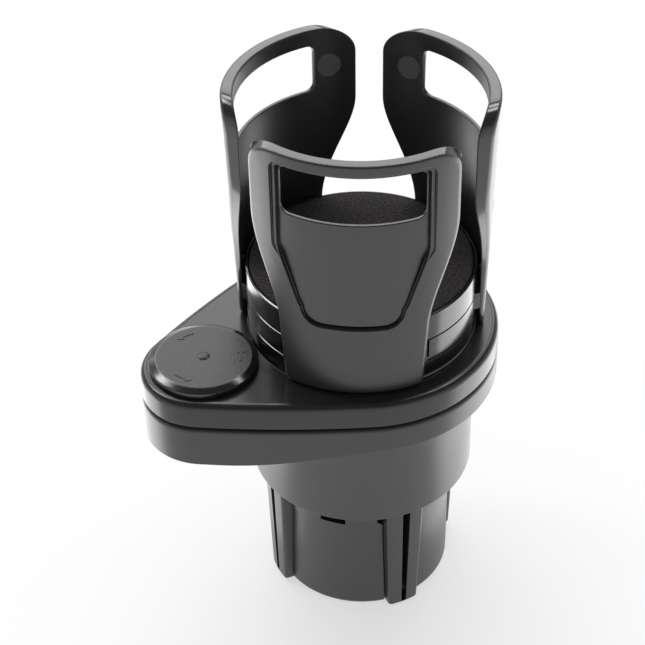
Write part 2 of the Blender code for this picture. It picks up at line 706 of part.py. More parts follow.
def guide_band():
    low = BAND_1 + SEAM
    high = BAND_2 - SEAM
    profile = [(DRUM_R - 0.3, high), (DRUM_R, high - 0.3), (DRUM_R, low + 0.3), (DRUM_R - 0.3, low),
               (HUB_R + PLAY, low), (HUB_R + PLAY, GUIDE_FLOOR), (DRUM_IN_R, GUIDE_FLOOR), (DRUM_IN_R, high)]
    item = turned("guide_band", profile, DRUM_STEPS)
    for i in range(CLAW_COUNT):
        wide = FOOT_HALF + 0.7
        gate = block("gate", DRUM_R / 2, CLAW_TOP_R, -wide, wide, GUIDE_FLOOR, CAP_TOP)
        combine(item, turn_to(gate, 360.0 * i / CLAW_COUNT))
    return item


def scroll_plate():
    """The plate whose three spiral slots drive the claws' pins."""
    rim = DRUM_IN_R - PLAY - 0.5
    item = round_bar("scroll_plate", 0.0, 0.0, rim, SCROLL_Z0, SCROLL_Z1, DRUM_STEPS)
    key = [polar(KEY_R + PLAY, 60.0 * i) for i in range(6)]
    combine(item, prism("key", key, SCROLL_Z0 - 1.0, SCROLL_Z1 + 1.0))
    half = PIN_R + PLAY
    spare = math.degrees((half + PLAY) / PIN_START) / CAP_TURN
    for slot in range(CLAW_COUNT):
        outer = []
        inner = []
        for i in range(9):
            part = -spare + (1.0 + 2.0 * spare) * i / 8.0
            angle = 360.0 * slot / CLAW_COUNT - CAP_TURN * part
            radius = PIN_START + CLAW_TRAVEL * part
            outer.append(polar(radius + half, angle))
            inner.append(polar(radius - half, angle))
        outline = outer + list(reversed(inner))
        combine(item, prism("slot", outline, SCROLL_Z0 - 1.0, SCROLL_Z1 + 1.0))
    return item


def cup_cap():
    low = BAND_2 + SEAM
    hub_z = SCROLL_Z1 + PLAY
    profile = [(DRUM_R - 0.5, CAP_TOP), (DRUM_R, CAP_TOP - 0.5), (DRUM_R, low + 0.3), (DRUM_R - 0.3, low),
               (DRUM_IN_R, low), (DRUM_IN_R, CAP_DISC_Z), (10.5, CAP_DISC_Z), (10.5, hub_z),
               (SCREW_R + PLAY, hub_z), (SCREW_R + PLAY, CAP_DISC_Z - 0.6), (4.8, CAP_DISC_Z - 0.6),
               (4.8, CAP_DISC_TOP), (MAT_R + 0.35, CAP_DISC_TOP), (MAT_R + 0.35, CAP_TOP)]
    item = turned("cup_cap", profile, DRUM_STEPS)
    key = prism("key", [polar(KEY_R, 60.0 * i) for i in range(6)], SCROLL_Z0 - 0.2, hub_z + 1.0)
    combine(item, key, "UNION")
    combine(item, round_bar("bore", 0.0, 0.0, SCREW_R + PLAY, TONGUE_Z0, CAP_DISC_Z, 24))
    return item


def foam_mat():
    low = MAT_TOP - MAT_T
    profile = [(0.0, MAT_TOP), (MAT_R - 0.5, MAT_TOP), (MAT_R, MAT_TOP - 0.5), (MAT_R, low), (0.0, low)]
    return turned("foam_mat", profile, DRUM_STEPS)


# Claws, modelled pointing to +X

def claw_half(z):
    """Half the width of a claw across its front."""
    if z <= CLAW_WAIST_Z:
        run = (z - CLAW_Z0) / (CLAW_WAIST_Z - CLAW_Z0)
        return CLAW_FOOT_HALF + (CLAW_WAIST_HALF - CLAW_FOOT_HALF) * run
    run = min((z - CLAW_WAIST_Z) / (CLAW_SHOULDER_Z - CLAW_WAIST_Z), 1.0)
    return CLAW_WAIST_HALF + (CLAW_TOP_HALF - CLAW_WAIST_HALF) * run * run * (3.0 - 2.0 * run)


def claw_out(z):
    return CLAW_FOOT_R + (CLAW_TOP_R - CLAW_FOOT_R) * (z - CLAW_Z0) / (CLAW_TOP - CLAW_Z0)


def claw_ring(z, half, thin):
    """Plan of a claw at one height, with eased edges. thin draws both faces in."""
    outer = claw_out(z) - thin
    inner = CLAW_IN_R + thin * 0.6
    thick = outer - inner
    round_out = min(CLAW_EDGE, thick * 0.45)
    round_in = min(CLAW_EDGE * 0.6, thick * 0.3)
    front = []
    back = []
    for i in range(CLAW_STEPS + 1):
        u = 1.0 - 2.0 * i / CLAW_STEPS
        t = (half - round_out) * u
        front.append((math.sqrt(outer ** 2 - t ** 2), t))
        t = (half - round_in) * u
        back.append((math.sqrt(inner ** 2 - t ** 2), t))
    edge_x = front[0][0]
    root_x = back[0][0]
    side = [(edge_x - round_out * 0.3, half - round_out * 0.3), (edge_x - round_out, half),
            (root_x + round_in, half)]
    mirrored = [(x, -t) for x, t in side]
    plan = front + mirrored + list(reversed(back)) + list(reversed(side))
    return [(x, t, z) for x, t in plan]


def cap_claw_end(form, ring):
    """Close the top or foot of a claw with quads between its front and back."""
    count = CLAW_STEPS + 1
    front = ring[:count]
    right = ring[count:count + 3]
    back = ring[count + 3:2 * count + 3]
    left = ring[2 * count + 3:]
    for i in range(CLAW_STEPS):
        form.faces.new((front[i], front[i + 1], back[count - 2 - i], back[count - 1 - i]))
    form.faces.new((front[-1], right[0], right[1], right[2], back[0]))
    form.faces.new((back[-1], left[0], left[1], left[2], front[0]))


def outside_of(radius, tool):
    """Keep only the part of a tool that lies outside an upright cylinder."""
    core = round_bar("core", 0.0, 0.0, radius, CLAW_Z0 - 10.0, CLAW_TOP + 10.0, 48)
    return combine(tool, core)


def panel_outline(inset):
    """The sunk panel of a claw, in y and z: square shoulders above, a tapered tongue below."""
    kink = PANEL_TOP_HALF - inset
    foot = PANEL_FOOT_HALF - inset
    bottom = PANEL_Z0 + inset
    corner = PANEL_CORNER - inset * 0.5
    side = [(kink, PANEL_KINK_Z)]
    slope = (kink - foot) / (PANEL_KINK_Z - bottom - corner)
    side.append((foot + slope * 2.5, bottom + corner + 2.5))
    for i in range(6):
        angle = math.radians(18.0 + 72.0 * i / 5.0)
        side.append((foot - corner + corner * math.cos(angle), bottom + corner - corner * math.sin(angle)))
    return side


def sink_panel(item):
    """Sink the shoulders and the panel with one stepped tool, then cut the groove."""
    top = WINDOW_Z1 + 0.9
    right = [(PANEL_TOP_HALF, top)] + panel_outline(0.0)
    outline = right + [(-t, z) for t, z in reversed(right)]
    tool = outside_of(PANEL_R, across(prism("panel", outline, DRUM_R / 2, CLAW_TOP_R * 1.2)))
    half = PANEL_TOP_HALF + PANEL_STEP
    low = PANEL_KINK_Z - 0.3
    outline = [(half, top + 0.6), (half, low), (-half, low), (-half, top + 0.6)]
    step = outside_of(PANEL_STEP_R, across(prism("shoulder", outline, DRUM_R / 2, CLAW_TOP_R * 1.3)))
    combine(item, combine(tool, step, "UNION"))
    outer = panel_outline(GROOVE_IN)
    inner = panel_outline(GROOVE_IN + GROOVE_W)
    right = outer + [(-t, z) for t, z in reversed(outer)]
    left = inner + [(-t, z) for t, z in reversed(inner)]
    outline = right + list(reversed(left))
    combine(item, outside_of(PANEL_R - GROOVE_D, across(prism("groove", outline, DRUM_R / 2, CLAW_TOP_R * 1.2))))


def open_window(item):
    corner = WINDOW_CORNER
    outline = []
    corners = ((1, WINDOW_Z1 - corner, 0.0), (-1, WINDOW_Z1 - corner, 90.0),
               (-1, WINDOW_Z0 + corner, 180.0), (1, WINDOW_Z0 + corner, 270.0))
    for way, middle, start in corners:
        for i in range(4):
            x, y = polar(corner, start + 30.0 * i)
            outline.append((way * (WINDOW_HALF - corner) + x, middle + y))
    combine(item, across(prism("window", outline, DRUM_R / 2, CLAW_TOP_R * 1.2)))


def claw_foot(item):
    """The foot that passes into the drum, its tongue and its pin."""
    outer = []
    inner = []
    for i in range(9):
        t = FOOT_HALF * (1.0 - i / 4.0)
        outer.append((math.sqrt((CLAW_IN_R + 0.5) ** 2 - t ** 2), t))
        inner.append((math.sqrt((DRUM_IN_R - 0.3) ** 2 - t ** 2), t))
    plan = outer + list(reversed(inner))
    combine(item, prism("foot", plan, TONGUE_Z0, FOOT_TOP), "UNION")
    tip = PIN_START - PIN_R - 1.2
    root = DRUM_IN_R
    tongue = [(tip, 5.0), (tip + 4.0, 9.0), (root, 9.0), (root, -9.0), (tip + 4.0, -9.0), (tip, -5.0)]
    combine(item, prism("tongue", tongue, TONGUE_Z0, TONGUE_Z1), "UNION")
    combine(item, round_bar("pin", PIN_START, 0.0, PIN_R, TONGUE_Z1 - 0.5, SCROLL_Z1 - 0.4, 12), "UNION")
    for way in (1, -1):
        t = way * (CLAW_WAIST_HALF - 3.0)
        half = 1.1
        seat = math.sqrt(DRUM_R ** 2 - (abs(t) - half) ** 2) + PLAY
        wall = math.sqrt(CLAW_IN_R ** 2 - t ** 2) + 0.8
        lug = block("lug", seat, wall, t - half, t + half, BAND_2 + 3.5, CAP_TOP - 1.2)
        combine(item, lug, "UNION")


def claw_pattern():
    corner = CLAW_CORNER
    rings = [claw_ring(CLAW_Z0, CLAW_FOOT_HALF - 1.4, 0.35), claw_ring(CLAW_Z0 + 0.5, CLAW_FOOT_HALF - 0.4, 0.1)]
    heights = [CLAW_Z0 + 1.6, CLAW_WAIST_Z]
    rise = CLAW_SHOULDER_Z - CLAW_WAIST_Z
    heights += [CLAW_WAIST_Z + rise * i / 5.0 for i in range(1, 6)]
    heights.append(CLAW_TOP - corner)
    rings += [claw_ring(z, claw_half(z), 0.0) for z in heights]
    for degrees in (25.0, 48.0, 66.0):
        drop, lift = polar(corner, degrees)
        rings.append(claw_ring(CLAW_TOP - corner + lift, CLAW_TOP_HALF - corner + drop, 0.0))
    rings.append(claw_ring(CLAW_TOP - 0.3, CLAW_TOP_HALF - corner * 0.78, 0.35))
    rings.append(claw_ring(CLAW_TOP, CLAW_TOP_HALF - corner * 0.95, 1.0))
    item = loft("claw", rings, cap_claw_end)
    sink_panel(item)
    open_window(item)
    claw_foot(item)
    return item


# Assembly

def empty_at(name, group, spot, parent=None):
    item = bpy.data.objects.new(name, None)
    item.empty_display_size = 0.01
    item.location = Vector(spot) * MM
    group.objects.link(item)
    if parent is not None:
        item.parent = parent
        item.matrix_parent_inverse = parent.matrix_world.inverted()
    bpy.context.view_layer.update()
    return item


def settle(item, group, surface, parent, spot=(0.0, 0.0, 0.0)):
    """Give a finished piece its place, its origin and its surface."""
    weld(item)
    smooth(item)
    item.data.materials.clear()
    item.data.materials.append(surface)
    item.data.transform(Matrix.Translation(-Vector(spot) * MM))
    for old in list(item.users_collection):
        old.objects.unlink(item)
    group.objects.link(item)
    item.parent = parent
    item.matrix_parent_inverse = parent.matrix_world.inverted()
    item.location = Vector(spot) * MM
    return item


def repeat(pattern, names, group, surfaces, parent, spot):
    """Copies of one piece spaced evenly about the cup axis, each with its own object."""
    weld(pattern)
    smooth(pattern)
    pattern.data.materials.clear()
    pattern.data.materials.append(surfaces[0])
    pattern.data.transform(Matrix.Translation(-Vector(spot) * MM))
    for i, name in enumerate(names):
        item = bpy.data.objects.new(name, pattern.data)
        item.rotation_euler = (0.0, 0.0, 2.0 * math.pi * i / len(names))
        turn = Matrix.Rotation(2.0 * math.pi * i / len(names), 4, "Z")
        item.location = turn @ (Vector(spot) * MM)
        group.objects.link(item)
        item.parent = parent
        item.matrix_parent_inverse = parent.matrix_world.inverted()
        item.material_slots[0].link = "OBJECT"
        item.material_slots[0].material = surfaces[i]
    bpy.data.objects.remove(pattern, do_unlink=True)


def build():
    clear_scene()
    group = make_collection("cup_holder_adapter")
    root = empty_at("foot_root", group, (0.0, 0.0, 0.0))
    neck = empty_at("neck_axis", group, (0.0, 0.0, COLLAR_Z0), root)
    swing = empty_at("swing_axis", group, (*PIVOT, UPPER_Z0), neck)
    clamp = empty_at("knob_axis", group, (*PIVOT, UPPER_TOP), swing)
    cap = empty_at("cap_axis", group, (0.0, 0.0, BAND_2), swing)

    black = (0.045, 0.045, 0.047)
    satin = 0.38
    steel = (0.45, 0.45, 0.46)
    pieces = (
        (sleeve, "sleeve_plastic", black, 0.42, 0.0, root, (0.0, 0.0, 0.0)),
        (spreader_cam, "cam_plastic", (0.10, 0.10, 0.10), 0.5, 0.0, neck, (0.0, 0.0, COLLAR_Z0)),
        (base_screw, "base_screw_steel", steel, 0.35, 1.0, root, (0.0, 0.0, 0.0)),
        (collar, "collar_plastic", black, satin, 0.0, neck, (0.0, 0.0, COLLAR_Z0)),
        (lower_arm, "lower_arm_plastic", black, satin, 0.0, neck, (0.0, 0.0, COLLAR_Z0)),
        (lower_lid, "lower_lid_plastic", black, 0.45, 0.0, neck, (0.0, 0.0, COLLAR_Z0)),
        (friction_disc, "friction_disc_fibre", (0.12, 0.12, 0.12), 0.7, 0.0, neck, (*PIVOT, UPPER_Z0)),
        (pivot_bolt, "pivot_bolt_steel", steel, 0.3, 1.0, neck, (*PIVOT, UPPER_Z0)),
        (upper_arm, "upper_arm_plastic", black, satin, 0.0, swing, (*PIVOT, UPPER_Z0)),
        (upper_cover, "upper_cover_plastic", black, 0.45, 0.0, swing, (*PIVOT, UPPER_Z0)),
        (drum_base, "drum_base_plastic", (0.03, 0.03, 0.032), 0.3, 0.0, swing, (0.0, 0.0, DRUM_Z0)),
        (guide_band, "guide_band_plastic", (0.03, 0.03, 0.032), 0.28, 0.0, swing, (0.0, 0.0, DRUM_Z0)),
        (knob, "knob_plastic", (0.06, 0.06, 0.062), 0.5, 0.0, clamp, (*PIVOT, UPPER_TOP)),
        (knob_nut, "knob_nut_brass", (0.55, 0.42, 0.2), 0.35, 1.0, clamp, (*PIVOT, UPPER_TOP)),
        (scroll_plate, "scroll_plastic", (0.12, 0.12, 0.12), 0.45, 0.0, cap, (0.0, 0.0, BAND_2)),
        (cup_cap, "cup_cap_plastic", (0.03, 0.03, 0.032), 0.28, 0.0, cap, (0.0, 0.0, BAND_2)),
        (foam_mat, "foam_mat_foam", (0.028, 0.025, 0.024), 0.95, 0.0, cap, (0.0, 0.0, BAND_2)),
    )
    for make, finish, colour, roughness, metallic, parent, spot in pieces:
        settle(make(), group, plastic(finish, colour, roughness, metallic), parent, spot)

    cap_screw = screw_piece("cap_screw", 0.0, 0.0, CAP_DISC_Z - 0.3, DRUM_Z0 + 3.0, True)
    settle(cap_screw, group, plastic("cap_screw_steel", steel, 0.35, 1.0), cap, (0.0, 0.0, BAND_2))
    for i, (x, y) in enumerate(NECK_SCREWS):
        seat = underside(-x) + ARM_WALL + 2 * PLAY
        item = screw_piece("neck_screw_%d" % (i + 1), x, y, seat, LOWER_Z0 - COLLAR_H * 0.37, True)
        finish = plastic("neck_screw_%d_steel" % (i + 1), steel, 0.35, 1.0)
        settle(item, group, finish, neck, (0.0, 0.0, COLLAR_Z0))
    for i, (x, y) in enumerate(DRUM_SCREWS):
        seat = UPPER_TOP - ARM_WALL - PLAY
        item = screw_piece("drum_screw_%d" % (i + 1), x, y, seat, BAND_1 - 2.2, False)
        finish = plastic("drum_screw_%d_steel" % (i + 1), steel, 0.35, 1.0)
        settle(item, group, finish, swing, (*PIVOT, UPPER_Z0))

    names = ["leg_%d" % (i + 1) for i in range(LEG_COUNT)]
    finishes = [plastic("%s_plastic" % name, black, 0.42) for name in names]
    repeat(leg_pattern(), names, group, finishes, root, (LEG_FLANGE_OUT, 0.0, SLEEVE_H / 2))
    names = ["claw_%d" % (i + 1) for i in range(CLAW_COUNT)]
    finishes = [plastic("%s_plastic" % name, black, 0.3) for name in names]
    repeat(claw_pattern(), names, group, finishes, swing, (PIN_START, 0.0, TONGUE_Z0))
    bpy.context.view_layer.update()


build()
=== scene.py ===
# The looks of the car cup holder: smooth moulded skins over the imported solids,
# textured black plastics, a foam mat, and a white table-top light set.
# Lengths of the object are in millimetres and become metres in the mesh builders. The stage, the
# lamps and the camera are in metres. Angles that stand as numbers are in degrees.

import json
import math

import bmesh
import bpy
from mathutils import Matrix, Vector, noise
from mathutils.geometry import delaunay_2d_cdt


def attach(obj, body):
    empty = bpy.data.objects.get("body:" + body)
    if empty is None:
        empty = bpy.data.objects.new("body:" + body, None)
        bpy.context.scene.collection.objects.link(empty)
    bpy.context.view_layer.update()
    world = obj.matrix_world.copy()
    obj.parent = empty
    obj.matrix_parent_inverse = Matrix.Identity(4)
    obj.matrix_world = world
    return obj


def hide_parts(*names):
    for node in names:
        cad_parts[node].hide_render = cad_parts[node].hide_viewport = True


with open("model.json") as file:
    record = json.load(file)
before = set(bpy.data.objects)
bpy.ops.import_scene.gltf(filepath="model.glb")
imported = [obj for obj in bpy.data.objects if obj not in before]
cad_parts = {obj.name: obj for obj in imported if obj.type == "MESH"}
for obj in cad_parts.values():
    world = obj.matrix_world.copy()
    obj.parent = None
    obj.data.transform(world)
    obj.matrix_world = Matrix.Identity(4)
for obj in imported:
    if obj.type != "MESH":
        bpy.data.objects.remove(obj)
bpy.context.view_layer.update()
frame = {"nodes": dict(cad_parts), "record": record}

MM = 0.001
PLAY = 0.3
OUTSIDE = 51.0          # a radius outside the foot, where its cutting tools end
TOOL_Z = (60.0, 130.0)  # heights below and above the arm, for its cutting tools
WELD = 0.000004         # points closer than this, in metres, become one

# Foot
SLEEVE_R = 34.0
SLEEVE_IN_R = 31.6
SLEEVE_H = 53.4
SLEEVE_FLOOR = 3.0
SLEEVE_EDGE = 2.4
DISH_R = 28.0           # the shallow dish in the underside
DISH_Z = 0.5
LIP_Z = 41.0
LIP_OUT = 0.35
NOTCH_Z = 43.4          # where a leg's notch in the sleeve widens
NOTCH_TOP_Z = 45.0
NOTCH_STEP = 1.9
NOTCH_IN_R = 29.7
SNAP_HALF = 5.0         # the snap windows between the legs
SNAP_Z = (43.9, 46.5)
SNAP_IN_R = 25.3
LEG_COUNT = 4
LEG_Z0 = 0.5
LEG_TOP_Z = 50.6
LEG_FLANGE_OUT = 23.95
LEG_FLANGE_IN = 21.75
LEG_HALF = 6.1          # half a leg's width at the foot, and what it gains up to the sleeve's top
LEG_HALF_GAIN = 1.6
LEG_REACH = 37.3        # a leg's outer radius, and its gain
LEG_REACH_GAIN = 1.4
LEG_ROUND = 1.3
LEG_FOOT_ROUND = 1.6

# Neck and arm
COLLAR_R = 42.2
COLLAR_WALL = 2.6
COLLAR_BORE_R = 2.3
COLLAR_Z0 = 53.7
COLLAR_FLOOR = 56.3
COLLAR_SINK = 0.12      # how far the collar's top lies below the arm's underside
ARM_BIG_R = 50.7
ARM_SMALL_R = 22.9
ARM_LENGTH = 62.7
ARM_FLANK_R = 380.0
ARM_WALL = 2.5
PIVOT = (-ARM_LENGTH, 0.0)
PIVOT_BORE_R = 4.2
POST_R = 10.3           # round the bolt in the lower arm, with the well for its head below
POST_Z0 = 91.9
WELL_R = 7.9
WELL_TOP = 96.4
BOSS_R = 11.5           # round the bolt in the upper arm, with the knob's socket on top
SOCKET_R = 8.5
SOCKET_DEPTH = 7.2
LOWER_Z0 = 97.0
LOWER_TOP = 107.3
LOWER_FOOT_EDGE = 0.35
LOWER_TOP_EDGE = 2.0
KNOB_END_DROP = 6.3     # the underside falls by this much towards the knob
DROP_START = 7.0
DROP_LENGTH = 59.0
UPPER_Z0 = 108.3
UPPER_TOP = 118.4
UPPER_FOOT_EDGE = 0.5
UPPER_TOP_EDGE = 2.5
LID_T = 2.2

# Knob
KNOB_R = 19.6
KNOB_TOP = 122.1
KNOB_CHAMFER = (2.7, 1.3)       # its width and its drop
KNOB_SUPPORT = (0.45, 0.217)    # a point on the chamfer near each end, to keep it flat
KNOB_HUB_R = 8.2
KNOB_DOME = ((0.0, 0.62), (0.9, 0.58), (1.6, 0.44), (2.1, 0.2), (2.35, 0.03), (2.5, 0.0))
ARROW_STARTS = (-38.0, 82.0, 202.0)
ARROW_SWEEP = 20.0
ARROW_WIDTH = 0.7
ARROW_RISE = 0.18

# Drum
DRUM_R = 41.8
DRUM_IN_R = 39.4
DRUM_Z0 = 118.7
BAND_1 = 125.98
BAND_2 = 135.1
HALF_SEAM = 0.15
CAP_TOP = 145.65
MAT_R = 40.5
MAT_TOP = 146.1
MAT_SEAT = 3.2
MAT_EASE = 0.9
GATE_R = (20.9, 47.6)   # the gates for the claws' feet, from the axis out
GATE_HALF = 26.0

# Claws
CLAW_COUNT = 3
CLAW_Z0 = 119.2
CLAW_TOP = 215.7
CLAW_IN_R = 43.15
CLAW_FOOT_R = 45.0
CLAW_TOP_R = 47.6
CLAW_FOOT_HALF = 24.2
WAIST_HALF = 25.7
WAIST_Z = 143.0
WING_GAIN = 9.3         # what each side gains above the waist
WING_RISE = 44.0
PANEL_R = 44.75
PANEL_Z0 = 147.8
PANEL_TOP = 210.6
PANEL_HALF = 25.6
PANEL_LOW = (18.0, 153.8)       # the taper's lower end as (half width, height)
SHOULDER_Z = 177.4
WINDOW_HALF = 24.0
WINDOW_Z0 = 190.9
WINDOW_TOP = 209.3
MARK_T = 28.0           # the oval marks on the inner face
MARK_Z = 200.6
MARK_DIP = 0.16
FOOT_HALF = 25.3
TONGUE = ((19.0, 5.0), (23.0, 9.0), (39.3, 9.0), (39.3, -9.0), (23.0, -9.0), (19.0, -5.0))
PIN_X = 22.0
PIN_R = 1.8
LUG_R = (36.1, 37.6)
LUG_T = 22.7
LUG_HALF = 1.1
GRID = 2.2              # spacing of the points inside a face

# Finishes by face: of a claw, and of the knob
PANEL, FRAME, WALL, MARK, BACK = range(5)
# the knob's thin line is a lighter grey, a painted highlight on the edge of its face
KNOB_FACE, KNOB_SIDE, KNOB_HIGHLIGHT_LINE = range(3)


# Mesh builders

def new_object(name, mesh):
    item = bpy.data.objects.new(name, mesh)
    bpy.context.scene.collection.objects.link(item)
    return item


def delete(item):
    spent = item.data
    bpy.data.objects.remove(item, do_unlink=True)
    bpy.data.meshes.remove(spent)


def from_form(name, form):
    """An object from a bmesh, which is used up."""
    mesh = bpy.data.meshes.new(name)
    form.to_mesh(mesh)
    form.free()
    return new_object(name, mesh)


def bake(item):
    """Put the result of an object's modifiers into its own mesh."""
    graph = bpy.context.evaluated_depsgraph_get()
    mesh = bpy.data.meshes.new_from_object(item.evaluated_get(graph))
    spent = item.data
    item.modifiers.clear()
    item.data = mesh
    bpy.data.meshes.remove(spent)
    return item


def combine(item, tool, operation="DIFFERENCE"):
    """Cut, join or intersect with a tool object, which is used up."""
    step = item.modifiers.new(operation.lower(), "BOOLEAN")
    step.operation = operation
    step.solver = "EXACT"
    step.object = tool
    bake(item)
    delete(tool)


def turned(name, profile, steps=144):
    """Revolve a profile of (radius, height) about Z."""
    closed = profile[0][0] > 0.0 and profile[-1][0] > 0.0
    mesh = bpy.data.meshes.new(name)
    verts = [(r * MM, 0.0, z * MM) for r, z in profile]
    edges = [(i, i + 1) for i in range(len(profile) - 1)]
    if closed:
        edges.append((len(profile) - 1, 0))
    mesh.from_pydata(verts, edges, [])
    item = new_object(name, mesh)
    screw = item.modifiers.new("revolve", "SCREW")
    screw.axis = "Z"
    screw.steps = steps
    screw.render_steps = steps
    screw.use_merge_vertices = True
    screw.merge_threshold = 0.000005
    return bake(item)


def eased(points, closed=True):
    """Round the corners of a profile given as (radius, height, corner radius)."""
    result = []
    count = len(points)
    for i, (x, y, ease) in enumerate(points):
        here = Vector((x, y))
        if ease <= 0.0 or (not closed and i in (0, count - 1)):
            result.append((x, y))
            continue
        before = Vector(points[i - 1][:2]) - here
        after = Vector(points[(i + 1) % count][:2]) - here
        turn = before.angle(after)
        run = min(ease / math.tan(turn / 2), before.length * 0.49, after.length * 0.49)
        radius = run * math.tan(turn / 2)
        start = here + before.normalized() * run
        end = here + after.normalized() * run
        inward = (before.normalized() + after.normalized()).normalized()
        middle = here + inward * radius / math.sin(turn / 2)
        steps = 5 if ease > 0.35 else 3
        from_angle = math.atan2(start.y - middle.y, start.x - middle.x)
        sweep = math.atan2(end.y - middle.y, end.x - middle.x) - from_angle
        sweep = (sweep + math.pi) % (2 * math.pi) - math.pi
        for k in range(steps + 1):
            angle = from_angle + sweep * k / steps
            result.append((middle.x + radius * math.cos(angle),
                           middle.y + radius * math.sin(angle)))
    return result


def prism(name, outline, z0, z1):
    """Extrude a flat outline of (x, y) from one height to another."""
    form = bmesh.new()
    rim = [form.verts.new((x * MM, y * MM, z0 * MM)) for x, y in outline]
    face = form.faces.new(rim)
    grown = bmesh.ops.extrude_face_region(form, geom=[face])
    lifted = [v for v in grown["geom"] if isinstance(v, bmesh.types.BMVert)]
    bmesh.ops.translate(form, verts=lifted, vec=(0.0, 0.0, (z1 - z0) * MM))
    bmesh.ops.recalc_face_normals(form, faces=form.faces)
    return from_form(name, form)


def round_bar(name, x, y, radius, z0, z1, steps=48):
    form = bmesh.new()
    spot = Matrix.Translation(Vector((x, y, (z0 + z1) / 2)) * MM)
    bmesh.ops.create_cone(form, cap_ends=True, segments=steps, radius1=radius * MM,
                          radius2=radius * MM, depth=(z1 - z0) * MM, matrix=spot)
    return from_form(name, form)


def block(name, x0, x1, y0, y1, z0, z1):
    form = bmesh.new()
    spot = Matrix.Translation(Vector(((x0 + x1) / 2, (y0 + y1) / 2, (z0 + z1) / 2)) * MM)
    size = Matrix.Diagonal((*(Vector((x1 - x0, y1 - y0, z1 - z0)) * MM), 1.0))
    bmesh.ops.create_cube(form, size=1.0, matrix=spot @ size)
    return from_form(name, form)


def turn_to(item, degrees):
    item.data.transform(Matrix.Rotation(math.radians(degrees), 4, "Z"))
    return item


def across(item):
    """Stand a flat prism up: its outline's x, y become y, z and its height runs to +X."""
    item.data.transform(Matrix(((0, 0, 1, 0), (1, 0, 0, 0), (0, 1, 0, 0), (0, 0, 0, 1))))
    return item


def loft(name, rings):
    """Skin a stack of rings with the same number of points, and cap both ends."""
    form = bmesh.new()
    stack = [[form.verts.new(Vector(p) * MM) for p in ring] for ring in rings]
    count = len(rings[0])
    for low, high in zip(stack, stack[1:]):
        for i in range(count):
            j = (i + 1) % count
            form.faces.new((low[i], low[j], high[j], high[i]))
    form.faces.new(stack[0])
    form.faces.new(stack[-1])
    bmesh.ops.recalc_face_normals(form, faces=form.faces)
    return from_form(name, form)


def join(item, *others):
    """Put the meshes of several objects into one."""
    form = bmesh.new()
    form.from_mesh(item.data)
    for other in others:
        form.from_mesh(other.data)
        delete(other)
    form.to_mesh(item.data)
    form.free()
    return item


def smooth(item, degrees=35.0):
    """Shade smooth. Edges that turn by more than these degrees stay sharp."""
    form = bmesh.new()
    form.from_mesh(item.data)
    bmesh.ops.remove_doubles(form, verts=form.verts, dist=WELD)
    bmesh.ops.dissolve_degenerate(form, edges=form.edges, dist=WELD / 2)
    bmesh.ops.recalc_face_normals(form, faces=form.faces)
    form.to_mesh(item.data)
    form.free()
    for face in item.data.polygons:
        face.use_smooth = True
    item.data.set_sharp_from_angle(angle=math.radians(degrees))
    item.modifiers.new("weigh", "WEIGHTED_NORMAL").keep_sharp = True
    return item


def polar(radius, degrees):
    return radius * math.cos(math.radians(degrees)), radius * math.sin(math.radians(degrees))


def arc(x, y, radius, start, step, count):
    """Points on a circle about (x, y), from one angle on in equal steps."""
    spots = [polar(radius, start + step * i) for i in range(count)]
    return [(x + right, y + up) for right, up in spots]


def quarter(radius, steps):
    """A quarter round as pairs of radius * (1 - cos) and radius * (1 - sin)."""
    angles = [math.radians(90.0 * i / steps) for i in range(steps + 1)]
    return [(radius * (1.0 - math.cos(a)), radius * (1.0 - math.sin(a))) for a in angles]


def forward(radius, aside):
    """How far out a point of that radius lies when it is that far to one side."""
    return math.sqrt(radius ** 2 - aside ** 2)


def mirrored(half):
    """A closed loop from its right half, which runs from foot to top off the centre line."""
    return half + [(-t, z) for t, z in reversed(half)]


# Materials

def new_surface(name):
    surface = bpy.data.materials.new(name)
    surface.use_nodes = True
    return surface, surface.node_tree.nodes, surface.node_tree.links


def shade(nodes, kind, inputs=None, **values):
    """Add a node. inputs are its sockets' values, the others are its own settings."""
    node = nodes.new(kind)
    for key, value in values.items():
        setattr(node, key, value)
    for key, value in (inputs or {}).items():
        node.inputs[key].default_value = value
    return node


